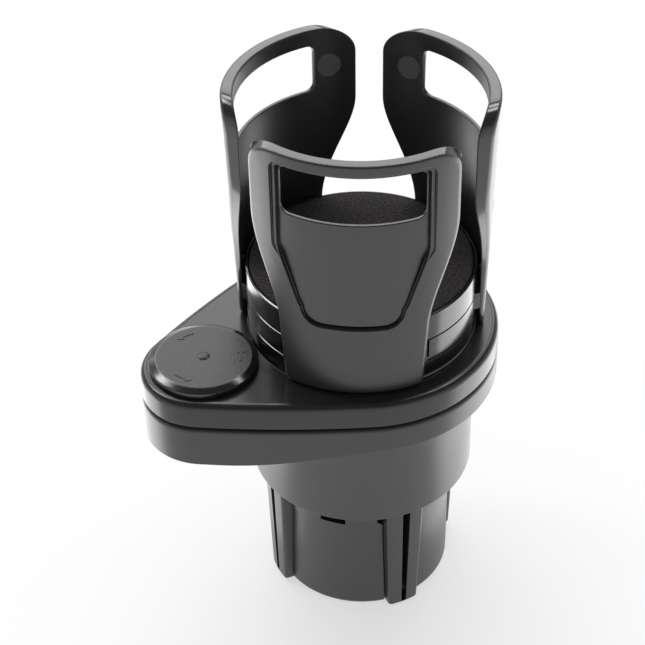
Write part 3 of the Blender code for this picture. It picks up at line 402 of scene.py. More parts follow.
def moulded(name, colour, rough, grain=0.05, grain_size=0.35, depth=0.02, spread=0.12,
            specular=0.5):
    """Moulded plastic: a fine grain in relief and gloss, and a faint cloudiness in the colour.
    grain is the relief's strength. grain_size and depth are its size in millimetres, and spread
    says how far the colour varies."""
    surface, nodes, links = new_surface(name)
    shader = nodes["Principled BSDF"]
    shader.inputs["Specular IOR Level"].default_value = specular
    place = shade(nodes, "ShaderNodeTexCoord")
    fine = shade(nodes, "ShaderNodeTexNoise",
                 {"Scale": 1.0 / (grain_size * MM), "Detail": 3.0, "Roughness": 0.6})
    wide = shade(nodes, "ShaderNodeTexNoise", {"Scale": 45.0, "Detail": 4.0})
    links.new(place.outputs["Object"], fine.inputs["Vector"])
    links.new(place.outputs["Object"], wide.inputs["Vector"])
    dark = [c * (1.0 - spread) for c in colour]
    light = [c * (1.0 + spread) for c in colour]
    tint = shade(nodes, "ShaderNodeMix", {"A": (*dark, 1.0), "B": (*light, 1.0)},
                 data_type="RGBA")
    half = shade(nodes, "ShaderNodeMath", {1: 0.5}, operation="MULTIPLY")
    blend = shade(nodes, "ShaderNodeMath", {1: 0.5}, operation="MULTIPLY_ADD")
    links.new(fine.outputs["Fac"], half.inputs[0])
    links.new(wide.outputs["Fac"], blend.inputs[0])
    links.new(half.outputs[0], blend.inputs[2])
    links.new(blend.outputs[0], tint.inputs["Factor"])
    links.new(tint.outputs["Result"], shader.inputs["Base Color"])
    gloss = shade(nodes, "ShaderNodeMapRange",
                  {"To Min": rough * 0.86, "To Max": min(rough * 1.14, 1.0)})
    links.new(blend.outputs[0], gloss.inputs["Value"])
    links.new(gloss.outputs["Result"], shader.inputs["Roughness"])
    relief = shade(nodes, "ShaderNodeBump", {"Strength": grain, "Distance": depth * MM})
    links.new(fine.outputs["Fac"], relief.inputs["Height"])
    links.new(relief.outputs["Normal"], shader.inputs["Normal"])
    return surface


def ramp(nodes, low, low_colour, high, high_colour):
    node = shade(nodes, "ShaderNodeValToRGB")
    stops = node.color_ramp.elements
    stops[0].position, stops[0].color = low, (*low_colour, 1.0)
    stops[1].position, stops[1].color = high, (*high_colour, 1.0)
    return node


def foam(name):
    """Open foam: dark cells with brown-grey fibres between them, lighter and darker in patches."""
    surface, nodes, links = new_surface(name)
    shader = nodes["Principled BSDF"]
    shader.inputs["Specular IOR Level"].default_value = 0.15
    place = shade(nodes, "ShaderNodeTexCoord")
    cells = shade(nodes, "ShaderNodeTexVoronoi", {"Scale": 1500.0})
    fibres = shade(nodes, "ShaderNodeTexNoise", {"Scale": 1300.0, "Detail": 5.0, "Roughness": 0.7})
    patches = shade(nodes, "ShaderNodeTexNoise", {"Scale": 70.0, "Detail": 3.0})
    for texture in (cells, fibres, patches):
        links.new(place.outputs["Object"], texture.inputs["Vector"])
    colour = ramp(nodes, 0.34, (0.010, 0.010, 0.010), 0.72, (0.078, 0.071, 0.068))
    tone = ramp(nodes, 0.35, (0.9, 0.9, 0.92), 0.65, (1.05, 1.0, 0.98))
    warm = shade(nodes, "ShaderNodeMix", {"Factor": 1.0}, data_type="RGBA", blend_type="MULTIPLY")
    links.new(fibres.outputs["Fac"], colour.inputs["Fac"])
    links.new(patches.outputs["Fac"], tone.inputs["Fac"])
    links.new(colour.outputs["Color"], warm.inputs["A"])
    links.new(tone.outputs["Color"], warm.inputs["B"])
    links.new(warm.outputs["Result"], shader.inputs["Base Color"])
    gloss = shade(nodes, "ShaderNodeMapRange", {"To Min": 0.82, "To Max": 1.0})
    links.new(cells.outputs["Distance"], gloss.inputs["Value"])
    links.new(gloss.outputs["Result"], shader.inputs["Roughness"])
    relief = shade(nodes, "ShaderNodeBump", {"Strength": 0.7, "Distance": 0.25 * MM})
    links.new(cells.outputs["Distance"], relief.inputs["Height"])
    links.new(relief.outputs["Normal"], shader.inputs["Normal"])
    return surface


def plated(name, colour, rough):
    """Plated or plain metal with fine turning marks."""
    surface, nodes, links = new_surface(name)
    shader = nodes["Principled BSDF"]
    shader.inputs["Metallic"].default_value = 1.0
    place = shade(nodes, "ShaderNodeTexCoord")
    marks = shade(nodes, "ShaderNodeTexNoise", {"Scale": 900.0, "Detail": 3.0})
    links.new(place.outputs["Object"], marks.inputs["Vector"])
    tint = shade(nodes, "ShaderNodeMix",
                 {"A": (*[c * 0.85 for c in colour], 1.0), "B": (*colour, 1.0)}, data_type="RGBA")
    links.new(marks.outputs["Fac"], tint.inputs["Factor"])
    links.new(tint.outputs["Result"], shader.inputs["Base Color"])
    gloss = shade(nodes, "ShaderNodeMapRange", {"To Min": rough * 0.7, "To Max": rough * 1.4})
    links.new(marks.outputs["Fac"], gloss.inputs["Value"])
    links.new(gloss.outputs["Result"], shader.inputs["Roughness"])
    return surface


# Foot

def leg_half(z):
    return LEG_HALF + LEG_HALF_GAIN * z / SLEEVE_H


def leg_reach(z):
    return LEG_REACH + LEG_REACH_GAIN * z / SLEEVE_H


def make_sleeve():
    lip_r = SLEEVE_R + LIP_OUT
    wall = eased([(SLEEVE_IN_R, SLEEVE_FLOOR, 0.0), (SLEEVE_IN_R, SLEEVE_H, 0.0),
                  (lip_r, SLEEVE_H, 0.2), (lip_r, LIP_Z, 0.25), (SLEEVE_R, LIP_Z - LIP_OUT, 0.2),
                  (SLEEVE_R, 0.0, SLEEVE_EDGE), (DISH_R, 0.0, 0.3), (DISH_R - 0.4, DISH_Z, 0.3)],
                 closed=False)
    item = turned("sleeve_skin", [(0.0, SLEEVE_FLOOR)] + wall + [(0.0, DISH_Z)])
    top = LEG_TOP_Z + PLAY
    low_half = leg_half(0.0) + PLAY
    notch_half = leg_half(NOTCH_Z) + PLAY
    high_half = leg_half(top) + PLAY
    slot = mirrored([(low_half, -1.0), (notch_half, NOTCH_Z),
                     (notch_half + NOTCH_STEP, NOTCH_TOP_Z), (high_half + NOTCH_STEP, top)])
    low, high = SNAP_Z
    window = [(-SNAP_HALF, low), (SNAP_HALF, low), (SNAP_HALF, high), (-SNAP_HALF, high)]
    for i in range(LEG_COUNT):
        combine(item, turn_to(across(prism("slot", slot, NOTCH_IN_R, OUTSIDE)), 90.0 * i))
        combine(item, turn_to(across(prism("window", window, SNAP_IN_R, OUTSIDE)),
                              90.0 * i + 45.0))
    return smooth(item)


def leg_ring(z, inset):
    half = leg_half(z) - inset
    reach = leg_reach(z) - inset
    root = LEG_FLANGE_OUT - 0.8
    face = half - LEG_ROUND
    edge = forward(reach, face)
    right = [(root, half), (edge - LEG_ROUND, half)]
    right += arc(edge - LEG_ROUND, face, LEG_ROUND, 72.0, -18.0, 4)
    spans = [face * (1.0 - i / 6.0) for i in range(13)]
    front = [(forward(reach, t), t) for t in spans]
    left = [(x, -t) for x, t in reversed(right)]
    return [(x, t, z) for x, t in right + front + left]


def make_leg():
    """A leg as two prongs round a centre slot, with rounded lower corners."""
    rings = [leg_ring(LEG_Z0 + lift, inset) for lift, inset in quarter(LEG_FOOT_ROUND, 5)]
    rings.append(leg_ring(LEG_TOP_Z, 0.0))
    item = loft("leg_skin", rings)
    combine(item, block("relief", 0.0, SLEEVE_IN_R - PLAY, -10.0, 10.0, -1.0, SLEEVE_FLOOR + 0.4))
    flange = block("flange", LEG_FLANGE_IN, LEG_FLANGE_OUT, -10.0, 10.0, 5.6, LEG_TOP_Z - 2.0)
    combine(item, flange, "UNION")
    nub = block("nub", LEG_FLANGE_IN - 1.2, LEG_FLANGE_IN + 0.5, -2.0, 2.0, 7.6, LEG_TOP_Z - 4.0)
    combine(item, nub, "UNION")
    split = [(-0.95, LEG_Z0 + 1.2), (0.95, LEG_Z0 + 1.2), (1.55, SLEEVE_H), (-1.55, SLEEVE_H)]
    combine(item, across(prism("split", split, LEG_FLANGE_OUT + 1.5, OUTSIDE)))
    edge = item.modifiers.new("edge", "BEVEL")
    edge.width = 0.25 * MM
    edge.segments = 2
    edge.limit_method = "ANGLE"
    edge.angle_limit = math.radians(50.0)
    return smooth(bake(item))


# Neck and arm. Along the arm, s runs from the drum's axis to the knob, and t lies across it.

def arm_outline(inset):
    """The arm's outline from three arcs a side: round the knob, the flank, and round the drum."""
    flank_a = ARM_FLANK_R - ARM_BIG_R
    flank_b = ARM_FLANK_R - ARM_SMALL_R
    along = (ARM_LENGTH ** 2 + flank_a ** 2 - flank_b ** 2) / (2 * ARM_LENGTH)
    aside = -math.sqrt(flank_a ** 2 - along ** 2)
    at_big = math.atan2(-aside, -along)
    at_small = math.atan2(-aside, ARM_LENGTH - along)
    arcs = ((ARM_LENGTH, 0.0, ARM_SMALL_R, 0.0, at_small, 40),
            (along, aside, ARM_FLANK_R, at_small, at_big, 14),
            (0.0, 0.0, ARM_BIG_R, at_big, math.pi, 72))
    half = []
    for middle, side, radius, start, end, count in arcs:
        for i in range(count):
            angle = start + (end - start) * i / count
            reach = radius - inset
            half.append((middle + reach * math.cos(angle), side + reach * math.sin(angle)))
    half.append((-(ARM_BIG_R - inset), 0.0))
    return half + [(s, -t) for s, t in reversed(half[1:-1])]


def arm_ring(inset, height):
    """The outline at a height, which is a number or a function of s."""
    ring = []
    for s, t in arm_outline(inset):
        z = height(s) if callable(height) else height
        ring.append((-s, t, z))
    return ring


def underside(s):
    run = min(max((s - DROP_START) / DROP_LENGTH, 0.0), 1.0)
    return LOWER_Z0 - KNOB_END_DROP * run * run * (3.0 - 2.0 * run)


def top_edge(radius, height, steps=5):
    """Rings of (inset, height) from an arm's side up round its top edge."""
    return [(inset, height - drop) for inset, drop in quarter(radius, steps)]


def foot_edge(radius, height, steps=3):
    """Rings of (inset, height) from an arm's underside up round its lower edge."""
    return [(inset, height + lift) for inset, lift in reversed(quarter(radius, steps))]


def ramp_tool():
    """Everything above the arm's underside, to cut the collar's top."""
    reach = ARM_BIG_R + 10.0
    outline = [(reach, LOWER_TOP), (-reach, LOWER_TOP)]
    for i in range(61):
        s = reach - 2.0 * reach * i / 60
        outline.append((-s, underside(s) - COLLAR_SINK))
    item = prism("ramp", outline, -reach, reach)
    item.data.transform(Matrix.Rotation(math.radians(90.0), 4, "X"))
    return item


def make_collar():
    inner = COLLAR_R - COLLAR_WALL
    top = LOWER_Z0 + 2.0
    item = turned("collar_skin", eased([
        (COLLAR_R, top, 0.0), (COLLAR_R, COLLAR_Z0, 1.1), (COLLAR_BORE_R, COLLAR_Z0, 0.0),
        (COLLAR_BORE_R, COLLAR_FLOOR, 0.0), (inner, COLLAR_FLOOR, 0.5), (inner, top, 0.0)]))
    combine(item, ramp_tool())
    return smooth(item)


def make_lower_arm():
    seat = LOWER_TOP - LID_T - PLAY
    hollow = ARM_WALL + 1.6
    rings = [arm_ring(inset, lambda s, lift=lift: underside(s) + lift)
             for inset, lift in foot_edge(LOWER_FOOT_EDGE, 0.0)]
    rings += [arm_ring(inset, z) for inset, z in top_edge(LOWER_TOP_EDGE, LOWER_TOP)]
    rings += [arm_ring(ARM_WALL - 0.15, LOWER_TOP), arm_ring(ARM_WALL, LOWER_TOP - 0.2),
              arm_ring(ARM_WALL, seat), arm_ring(hollow, seat),
              arm_ring(hollow, lambda s: underside(s) + ARM_WALL)]
    item = loft("lower_arm_skin", rings)
    combine(item, round_bar("post", *PIVOT, POST_R, POST_Z0, LOWER_TOP - 1.5), "UNION")
    combine(item, round_bar("bore", *PIVOT, PIVOT_BORE_R, *TOOL_Z))
    combine(item, round_bar("well", *PIVOT, WELL_R, TOOL_Z[0], WELL_TOP, 64))
    return smooth(item)


def make_upper_arm():
    ceiling = UPPER_TOP - ARM_WALL
    seat = UPPER_Z0 + LID_T + PLAY
    hollow = ARM_WALL + 1.2
    rings = [arm_ring(hollow, ceiling), arm_ring(hollow, seat),
             arm_ring(ARM_WALL, seat), arm_ring(ARM_WALL, UPPER_Z0)]
    rings += [arm_ring(inset, z) for inset, z in foot_edge(UPPER_FOOT_EDGE, UPPER_Z0)]
    rings += [arm_ring(inset, z) for inset, z in top_edge(UPPER_TOP_EDGE, UPPER_TOP, 6)[:-1]]
    # a shallow line in the top face, just inside the rounded edge
    rings += [arm_ring(UPPER_TOP_EDGE - 0.1, UPPER_TOP - 0.02),
              arm_ring(UPPER_TOP_EDGE + 0.05, UPPER_TOP - 0.13),
              arm_ring(UPPER_TOP_EDGE + 0.65, UPPER_TOP)]
    item = loft("upper_arm_skin", rings)
    combine(item, round_bar("boss", *PIVOT, BOSS_R, UPPER_Z0, ceiling + 0.5, 64), "UNION")
    socket_z = UPPER_TOP - SOCKET_DEPTH
    combine(item, round_bar("socket", *PIVOT, SOCKET_R, socket_z, TOOL_Z[1], 64))
    combine(item, round_bar("bore", *PIVOT, PIVOT_BORE_R, *TOOL_Z))
    return smooth(item)


# Knob

def turning_arrow(start, radius):
    """The outline of an arrow that bends round the knob."""
    sweep = ARROW_SWEEP / 12.0
    outer = arc(*PIVOT, radius + ARROW_WIDTH / 2, start, sweep, 13)
    inner = arc(*PIVOT, radius - ARROW_WIDTH / 2, start, sweep, 13)
    end = start + ARROW_SWEEP
    wing = ARROW_WIDTH * 2.2
    head = [polar(radius + wing, end), polar(radius, end + 9.0), polar(radius - wing, end)]
    return outer + [(PIVOT[0] + x, PIVOT[1] + y) for x, y in head] + list(reversed(inner))


def make_knob():
    low = UPPER_TOP + PLAY
    hub_z = UPPER_TOP - 6.9
    top = KNOB_TOP
    wide, deep = KNOB_CHAMFER
    along, down = KNOB_SUPPORT
    face = KNOB_R - wide
    dome = [(radius, top + rise) for radius, rise in KNOB_DOME]
    rim = eased([(*dome[-1], 0.0), (face, top, 0.25), (face + along, top - down, 0.0),
                 (KNOB_R - along, top - (deep - down), 0.0), (KNOB_R, top - deep, 0.2),
                 (KNOB_R, low, 0.3), (KNOB_HUB_R, low, 0.0)], closed=False)
    item = turned("knob_skin", dome + rim[1:] + [(KNOB_HUB_R, hub_z), (0.0, hub_z)], 128)
    item.data.transform(Matrix.Translation(Vector((*PIVOT, 0.0)) * MM))
    for start in ARROW_STARTS:
        arrow = prism("arrow", turning_arrow(start, face * 0.8), top - 0.3, top + ARROW_RISE)
        combine(item, arrow, "UNION")
    smooth(item, 22.0)
    # the flat face with its arrows and dome, the thin line round it, which is a lighter grey as a
    # painted highlight on the face's edge, and the rest
    for part in item.data.polygons:
        away = math.hypot(part.center.x / MM - PIVOT[0], part.center.y / MM - PIVOT[1])
        part.material_index = KNOB_SIDE
        if part.center.z > (top - 0.05) * MM and part.normal.z > 0.5:
            part.material_index = KNOB_FACE
        if face - 0.3 < away < face + 0.25 and part.center.z < (top - 0.001) * MM:
            part.material_index = KNOB_HIGHLIGHT_LINE
    return item


# Drum

def chamfer(height, run=0.45, drop=0.24):
    """The upper outer edge of a band."""
    return [(DRUM_R - run, height, 0.0), (DRUM_R, height - drop, 0.0)]


def make_drum_base():
    high = BAND_1 - HALF_SEAM
    floor = DRUM_Z0 + 2.5
    bore = 6.5
    return smooth(turned("drum_base_skin", eased(chamfer(high) + [
        (DRUM_R, DRUM_Z0 + 0.9, 0.3), (DRUM_R + 0.5, DRUM_Z0, 0.2), (bore, DRUM_Z0, 0.0),
        (bore, floor, 0.0), (DRUM_IN_R, floor, 0.4), (DRUM_IN_R, high, 0.2)])), 27.0)


def make_guide_band():
    low = BAND_1 + HALF_SEAM
    high = BAND_2 - HALF_SEAM
    floor = low + 1.3
    bore = 6.8
    item = turned("guide_band_skin", eased(chamfer(high) + [
        (DRUM_R, low, 0.3), (bore, low, 0.0), (bore, floor, 0.0), (DRUM_IN_R, floor, 0.3),
        (DRUM_IN_R, high, 0.2)]))
    for i in range(CLAW_COUNT):
        gate = block("gate", *GATE_R, -GATE_HALF, GATE_HALF, floor, CAP_TOP)
        combine(item, turn_to(gate, 120.0 * i))
    return smooth(item, 27.0)


def make_cup_cap():
    low = BAND_2 + HALF_SEAM
    disc = MAT_TOP - MAT_SEAT
    under = disc - 2.3
    bore = 1.8
    seat_r = MAT_R + 0.35
    return smooth(turned("cup_cap_skin", eased(chamfer(CAP_TOP, 0.5, 0.27) + [
        (DRUM_R, low, 0.3), (DRUM_IN_R, low, 0.2), (DRUM_IN_R, under, 0.4), (bore, under, 0.0),
        (bore, disc, 0.0), (seat_r, disc, 0.2), (seat_r, CAP_TOP, 0.3)])), 27.0)


def make_mat():
    """The foam disc: a soft edge and a barely uneven top."""
    low = MAT_TOP - 2.9
    top = MAT_TOP - 0.06
    flat = MAT_R - MAT_EASE
    profile = [(0.0, top)] + [(flat * i / 39.0, top) for i in range(1, 40)]
    for i in range(1, 6):
        angle = math.radians(18.0 * i)
        profile.append((flat + MAT_EASE * math.sin(angle),
                        top - MAT_EASE + MAT_EASE * math.cos(angle)))
    profile += [(MAT_R, low + 0.4), (MAT_R - 0.4, low), (0.0, low)]
    item = turned("foam_mat_pad", profile)
    for vert in item.data.vertices:
        if vert.co.z > (top - 1.0) * MM:
            vert.co.z += 0.05 * MM * noise.noise(vert.co * 140.0)
    return smooth(item, 60.0)


# Claws, modelled pointing to +X. A point is given as (t, z): across the claw, and height.

def claw_half(z):
    if z <= WAIST_Z:
        gain = WAIST_HALF - CLAW_FOOT_HALF
        return CLAW_FOOT_HALF + gain * (z - CLAW_Z0) / (WAIST_Z - CLAW_Z0)
    run = min((z - WAIST_Z) / WING_RISE, 1.0)
    return WAIST_HALF + WING_GAIN * run * run * (3.0 - 2.0 * run)


def claw_out(z):
    return CLAW_FOOT_R + (CLAW_TOP_R - CLAW_FOOT_R) * (z - CLAW_Z0) / (CLAW_TOP - CLAW_Z0)


def claw_outline():
    # the foot and its corner
    half = [(t, CLAW_Z0) for t in (1.2, 4.0, 7.0, 10.0, 13.0, 16.0, 19.0, 21.6)]
    half += arc(22.4, CLAW_Z0 + 1.8, 1.8, -90.0, 18.0, 6)
    # the side
    z = CLAW_Z0 + 3.4
    while z < 204.8:
        half.append((claw_half(z), z))
        z += 1.6
    # the top's corner, a little squarer than a circle, and the top
    for i in range(13):
        angle = math.radians(90.0 * i / 12)
        half.append((25.0 + 10.0 * math.cos(angle) ** 0.94, 205.6 + 10.1 * math.sin(angle) ** 0.94))
    half += [(t, CLAW_TOP) for t in (22.5, 20.0, 17.0, 14.0, 11.0, 8.0, 5.0, 1.6)]
    return mirrored(half)


def inset_loop(loop, amount):
    """Move every point of a loop that runs counter-clockwise towards its inside. amount is one
    number, or a list with one for each point."""
    count = len(loop)
    result = []
    for i, (t, z) in enumerate(loop):
        here = Vector((t, z))
        before = (here - Vector(loop[i - 1])).normalized()
        after = (Vector(loop[(i + 1) % count]) - here).normalized()
        way = (before + after).normalized()
        inward = Vector((-way.y, way.x))
        stretch = 1.0 / max(before.dot(way), 0.5)
        reach = amount[i] if isinstance(amount, list) else amount
        result.append(tuple(here + inward * reach * stretch))
    return result


def inside(point, loop):
    t, z = point
    hit = False
    count = len(loop)
    for i in range(count):
        t0, z0 = loop[i]
        t1, z1 = loop[(i + 1) % count]
        if (z0 > z) != (z1 > z) and t < (t1 - t0) * (z - z0) / (z1 - z0) + t0:
            hit = not hit
    return hit


def fill(outer, holes):
    """Triangles for the region inside outer and outside the holes, with a grid of inner points."""
    points = []
    edges = []
    for loop in [outer] + holes:
        base = len(points)
        points += loop
        edges += [(base + i, base + (i + 1) % len(loop)) for i in range(len(loop))]
    border = len(points)
    t_low = min(t for t, z in outer)
    z_low = min(z for t, z in outer)
    rows = int((max(z for t, z in outer) - z_low) / GRID) + 2
    columns = int((max(t for t, z in outer) - t_low) / GRID) + 2
    near = (GRID * 0.62) ** 2
    for row in range(rows):
        for column in range(columns):
            t = t_low + GRID * (column + 0.5 * (row % 2))
            z = z_low + GRID * row
            if not inside((t, z), outer) or any(inside((t, z), hole) for hole in holes):
                continue
            if any((t - a) ** 2 + (z - b) ** 2 < near for a, b in points[:border]):
                continue
            points.append((t, z))
    out, _, faces, origin, _, _ = delaunay_2d_cdt([Vector(p) for p in points], edges, [], 0, 1e-6)
    triangles = []
    for face in faces:
        middle = sum((out[i] for i in face), Vector((0.0, 0.0))) / len(face)
        if inside(middle, outer) and not any(inside(middle, hole) for hole in holes):
            triangles.append([origin[i][0] for i in face])
    return points, triangles


class Sheet:
    """Collects the claw's faces. A ring is a pair of a loop and its vertices."""

    def __init__(self):
        self.form = bmesh.new()
        self.finish = FRAME

    def vertex(self, t, z, radius):
        """radius is the distance from the drum's axis."""
        return self.form.verts.new(Vector((forward(radius, t), t, z)) * MM)

    def ring(self, loop, radii):
        """radii is one number, or a list with one for each point."""
        if not isinstance(radii, list):
            radii = [radii] * len(loop)
        return loop, [self.vertex(t, z, radius) for (t, z), radius in zip(loop, radii)]

    def band(self, one, two):
        count = len(one[1])
        for i in range(count):
            j = (i + 1) % count
            quad = (one[1][i], one[1][j], two[1][j], two[1][i])
            self.form.faces.new(quad).material_index = self.finish

    def bands(self, stages, begin=None):
        """Bands through rings made from (loop, radii). Returns the first and the last ring."""
        first = last = begin
        for loop, radii in stages:
            ring = self.ring(loop, radii)
            if last is None:
                first = ring
            else:
                self.band(last, ring)
            last = ring
        return first, last

    def region(self, outer, holes, level):
        """Fill between rings. level(z) gives an inner point's radius."""
        points, triangles = fill(outer[0], [hole[0] for hole in holes])
        verts = list(outer[1])
        for hole in holes:
            verts += hole[1]
        verts += [self.vertex(t, z, level(z)) for t, z in points[len(verts):]]
        for triangle in triangles:
            self.form.faces.new([verts[i] for i in triangle]).material_index = self.finish


def panel_half(z):
    """Half the width of the sunk panel below its shoulders."""
    low_half, low_z = PANEL_LOW
    return low_half + (PANEL_HALF - low_half) * (z - low_z) / (SHOULDER_Z - low_z)


def panel_loop():
    """The panel's outline, and how far below its shoulders each point is, 0 above and 1 below."""
    # the foot, its corner and the tapered side
    half = [(t, PANEL_Z0) for t in (1.2, 3.4, 5.6, 7.8, 9.6)]
    half += arc(10.9, PANEL_Z0 + 7.0, 7.0, -84.0, 9.2, 10)
    z = 156.6
    while z < 176.0:
        half.append((panel_half(z), z))
        z += 1.6
    # the shoulder, the upright side, the upper corner and the top
    half += [(PANEL_HALF - 0.15, SHOULDER_Z + 0.1), (PANEL_HALF, 179.0)]
    z = 181.0
    while z < 207.5:
        half.append((PANEL_HALF, z))
        z += 1.8
    half += arc(PANEL_HALF - 2.0, PANEL_TOP - 2.0, 2.0, 0.0, 22.5, 5)
    half += [(t, PANEL_TOP) for t in (21.0, 18.0, 15.0, 12.0, 9.0, 6.0, 3.0, 1.0)]
    loop = mirrored(half)
    depth = [1.0 - min(max((z - 174.0) / 3.4, 0.0), 1.0) for t, z in loop]
    return loop, depth


def window_loop():
    half = [(t, WINDOW_Z0) for t in (1.2, 4.0, 7.0, 10.0, 13.0, 16.0, 19.0)]
    half += arc(WINDOW_HALF - 2.8, WINDOW_Z0 + 2.8, 2.8, -90.0, 15.0, 7)
    half += [(WINDOW_HALF, z) for z in (195.4, 197.4, 199.4, 201.4, 203.4, 205.2)]
    half += arc(WINDOW_HALF - 2.6, WINDOW_TOP - 2.6, 2.6, 0.0, 15.0, 7)
    half += [(t, WINDOW_TOP) for t in (19.0, 16.0, 13.0, 10.0, 7.0, 4.0, 1.2)]
    return mirrored(half)


# The step from the claw's frame down to its panel, and the groove in its lower part. Each row has
# the inset above the shoulders and below them, the level (0 the frame, 1 the ledge, 2 the panel)
# and how far the point lies below that level.
STEP_ROWS = (
    (-1.95, -0.25, 0, 0.0), (-1.78, -0.15, 0, 0.05), (-1.62, -0.1, 0, 0.25),
    (-1.45, -0.05, 1, -0.12), (-1.25, 0.0, 1, 0.0), (-0.2, 0.05, 1, 0.0),
    (-0.05, 0.12, 1, 0.05), (0.06, 0.2, 1, 0.22), (0.2, 0.4, 2, -0.12), (0.3, 0.52, 2, 0.0),
    (0.36, 0.6, 2, 0.6), (0.42, 0.68, 2, 0.8), (0.48, 1.04, 2, 0.8), (0.54, 1.12, 2, 0.55),
    (0.6, 1.22, 2, 0.08), (0.66, 1.42, 2, 0.0))
LEDGE_DEPTH = 0.4       # the ledge's share of the way down, above the shoulders


def step_stages():
    """The rings of STEP_ROWS. Only the lower part has the groove, and no ledge."""
    panel, low = panel_loop()
    for high_inset, low_inset, level, extra in STEP_ROWS:
        loop = inset_loop(panel, [high_inset + (low_inset - high_inset) * k for k in low])
        radii = []
        for (t, z), k in zip(loop, low):
            top = claw_out(z)
            ledge = top - LEDGE_DEPTH * (top - PANEL_R) * (1.0 - k)
            deep = extra * k if level == 2 and extra > 0.0 else extra
            radii.append((top, ledge, PANEL_R)[level] - deep)
        yield loop, radii


def claw_shell():
    outline = claw_outline()
    window = window_loop()
    sheet = Sheet()

    # the rounded outer edge, from the side wall to the front face
    stages = []
    for inset, drop in quarter(0.95, 5):
        loop = inset_loop(outline, inset)
        stages.append((loop, [claw_out(z) - drop for t, z in loop]))
    side_out, frame_rim = sheet.bands(stages)

    sheet.finish = WALL
    frame_hole, panel_rim = sheet.bands(step_stages())
    sheet.finish = FRAME
    sheet.region(frame_rim, [frame_hole], claw_out)

    # the window's walls and its two rounded edges
    sheet.finish = PANEL
    round_edge = quarter(0.5, 4)
    window_front, wall = sheet.bands((inset_loop(window, -inset), PANEL_R - drop)
                                     for drop, inset in round_edge)
    sheet.region(panel_rim, [window_front], lambda z: PANEL_R)
    _, window_back = sheet.bands(((inset_loop(window, -inset), CLAW_IN_R + rise)
                                  for inset, rise in round_edge), wall)

    # the inner face with two shallow oval marks, and its rounded edge
    sheet.finish = MARK
    marks = []
    turns = [2 * math.pi * i / 40 for i in range(40)]
    for way in (1, -1):
        stages = []
        for radius, dip in ((4.3, 0.0), (4.2, 0.04), (4.05, 0.14), (3.9, MARK_DIP)):
            loop = [(way * MARK_T + 0.78 * radius * math.cos(turn),
                     MARK_Z + 1.1 * radius * math.sin(turn)) for turn in turns]
            stages.append((loop, CLAW_IN_R + dip))
        rim, bottom = sheet.bands(stages)
        sheet.region(bottom, [], lambda z: CLAW_IN_R + MARK_DIP)
        marks.append(rim)
    sheet.finish = BACK
    back_rim, side_in = sheet.bands((inset_loop(outline, inset), CLAW_IN_R + rise)
                                    for rise, inset in quarter(0.6, 4))
    sheet.region(back_rim, [window_back] + marks, lambda z: CLAW_IN_R)
    sheet.finish = WALL
    sheet.band(side_in, side_out)

    bmesh.ops.recalc_face_normals(sheet.form, faces=sheet.form.faces)
    return from_form("claw_skin", sheet.form)


def claw_foot():
    """The foot in the drum's gate, the tongue below the scroll, its pin, and two lugs above."""
    low = BAND_1 + 1.45 + PLAY
    high = BAND_2 - 0.45
    spans = [FOOT_HALF * (1.0 - i / 12.0) for i in range(25)]
    outer = [(forward(CLAW_IN_R + 0.4, t), t) for t in spans]
    inner = [(forward(DRUM_IN_R - 0.3, t), t) for t in spans]
    foot = prism("foot", outer + list(reversed(inner)), low, high)
    parts = [prism("tongue", TONGUE, low + 0.01, low + 3.0),
             round_bar("pin", PIN_X, 0.0, PIN_R, low + 2.9, low + 5.4, 24)]
    for t in (LUG_T, -LUG_T):
        parts.append(block("lug", *LUG_R, t - LUG_HALF, t + LUG_HALF, BAND_2 + 3.5, CAP_TOP - 1.2))
    return join(foot, *parts)


def make_claw():
    return smooth(join(claw_shell(), claw_foot()), 38.0)


# Dress the frame

def dress(item, surface, body, slot, *nodes):
    """surface is a material, or a tuple of them by the faces' finish."""
    for one in surface if isinstance(surface, tuple) else (surface,):
        item.data.materials.append(one)
    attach(item, body)
    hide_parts(*nodes)


def dress_round(master, surface, slot, *pairs):
    """A copy of the master for each (node, body), in equal turns round Z. The master goes."""
    for i, (node, body) in enumerate(pairs):
        copy = new_object(node + "_skin", master.data.copy())
        turn_to(copy, 360.0 / len(pairs) * i)
        copy.modifiers.new("weigh", "WEIGHTED_NORMAL").keep_sharp = True
        dress(copy, surface, body, slot, node)
    delete(master)


CHARCOAL = (0.020, 0.020, 0.021)
sleeve_black = moulded("sleeve_black", (0.022, 0.022, 0.023), 0.36, grain=0.08, specular=0.9)
leg_black = moulded("leg_black", (0.024, 0.024, 0.025), 0.34, grain=0.08, specular=0.9)
collar_black = moulded("collar_black", CHARCOAL, 0.36, grain=0.08, specular=1.0)
lower_black = moulded("lower_black", CHARCOAL, 0.34, grain=0.2, grain_size=0.3, depth=0.03,
                      specular=0.8)
arm_black = moulded("arm_black", (0.017, 0.017, 0.018), 0.25, grain=0.3, grain_size=0.5,
                    depth=0.03, specular=0.6)
knob_black = moulded("knob_black", (0.016, 0.016, 0.0172), 0.4, grain=0.7, grain_size=0.75,
                     depth=0.2, spread=0.4, specular=0.62)
knob_rim = moulded("knob_rim", (0.008, 0.008, 0.009), 0.2, grain=0.08, specular=1.0)
# a lighter grey for the thin ring at the knob face's edge: a painted highlight
edge_highlight_grey = moulded("edge_highlight_grey", (0.13, 0.13, 0.132), 0.25, grain=0.1)
drum_black = moulded("drum_black", (0.008, 0.008, 0.009), 0.17, grain=0.03, specular=0.8)
claw_black = moulded("claw_black", (0.02, 0.02, 0.021), 0.3, grain=0.06, grain_size=0.4,
                     specular=0.85)
frame_black = moulded("frame_black", (0.022, 0.022, 0.023), 0.34, grain=0.4, grain_size=0.6,
                      depth=0.05, spread=0.25, specular=0.8)
wall_black = moulded("wall_black", (0.018, 0.018, 0.019), 0.14, grain=0.04, specular=0.9)
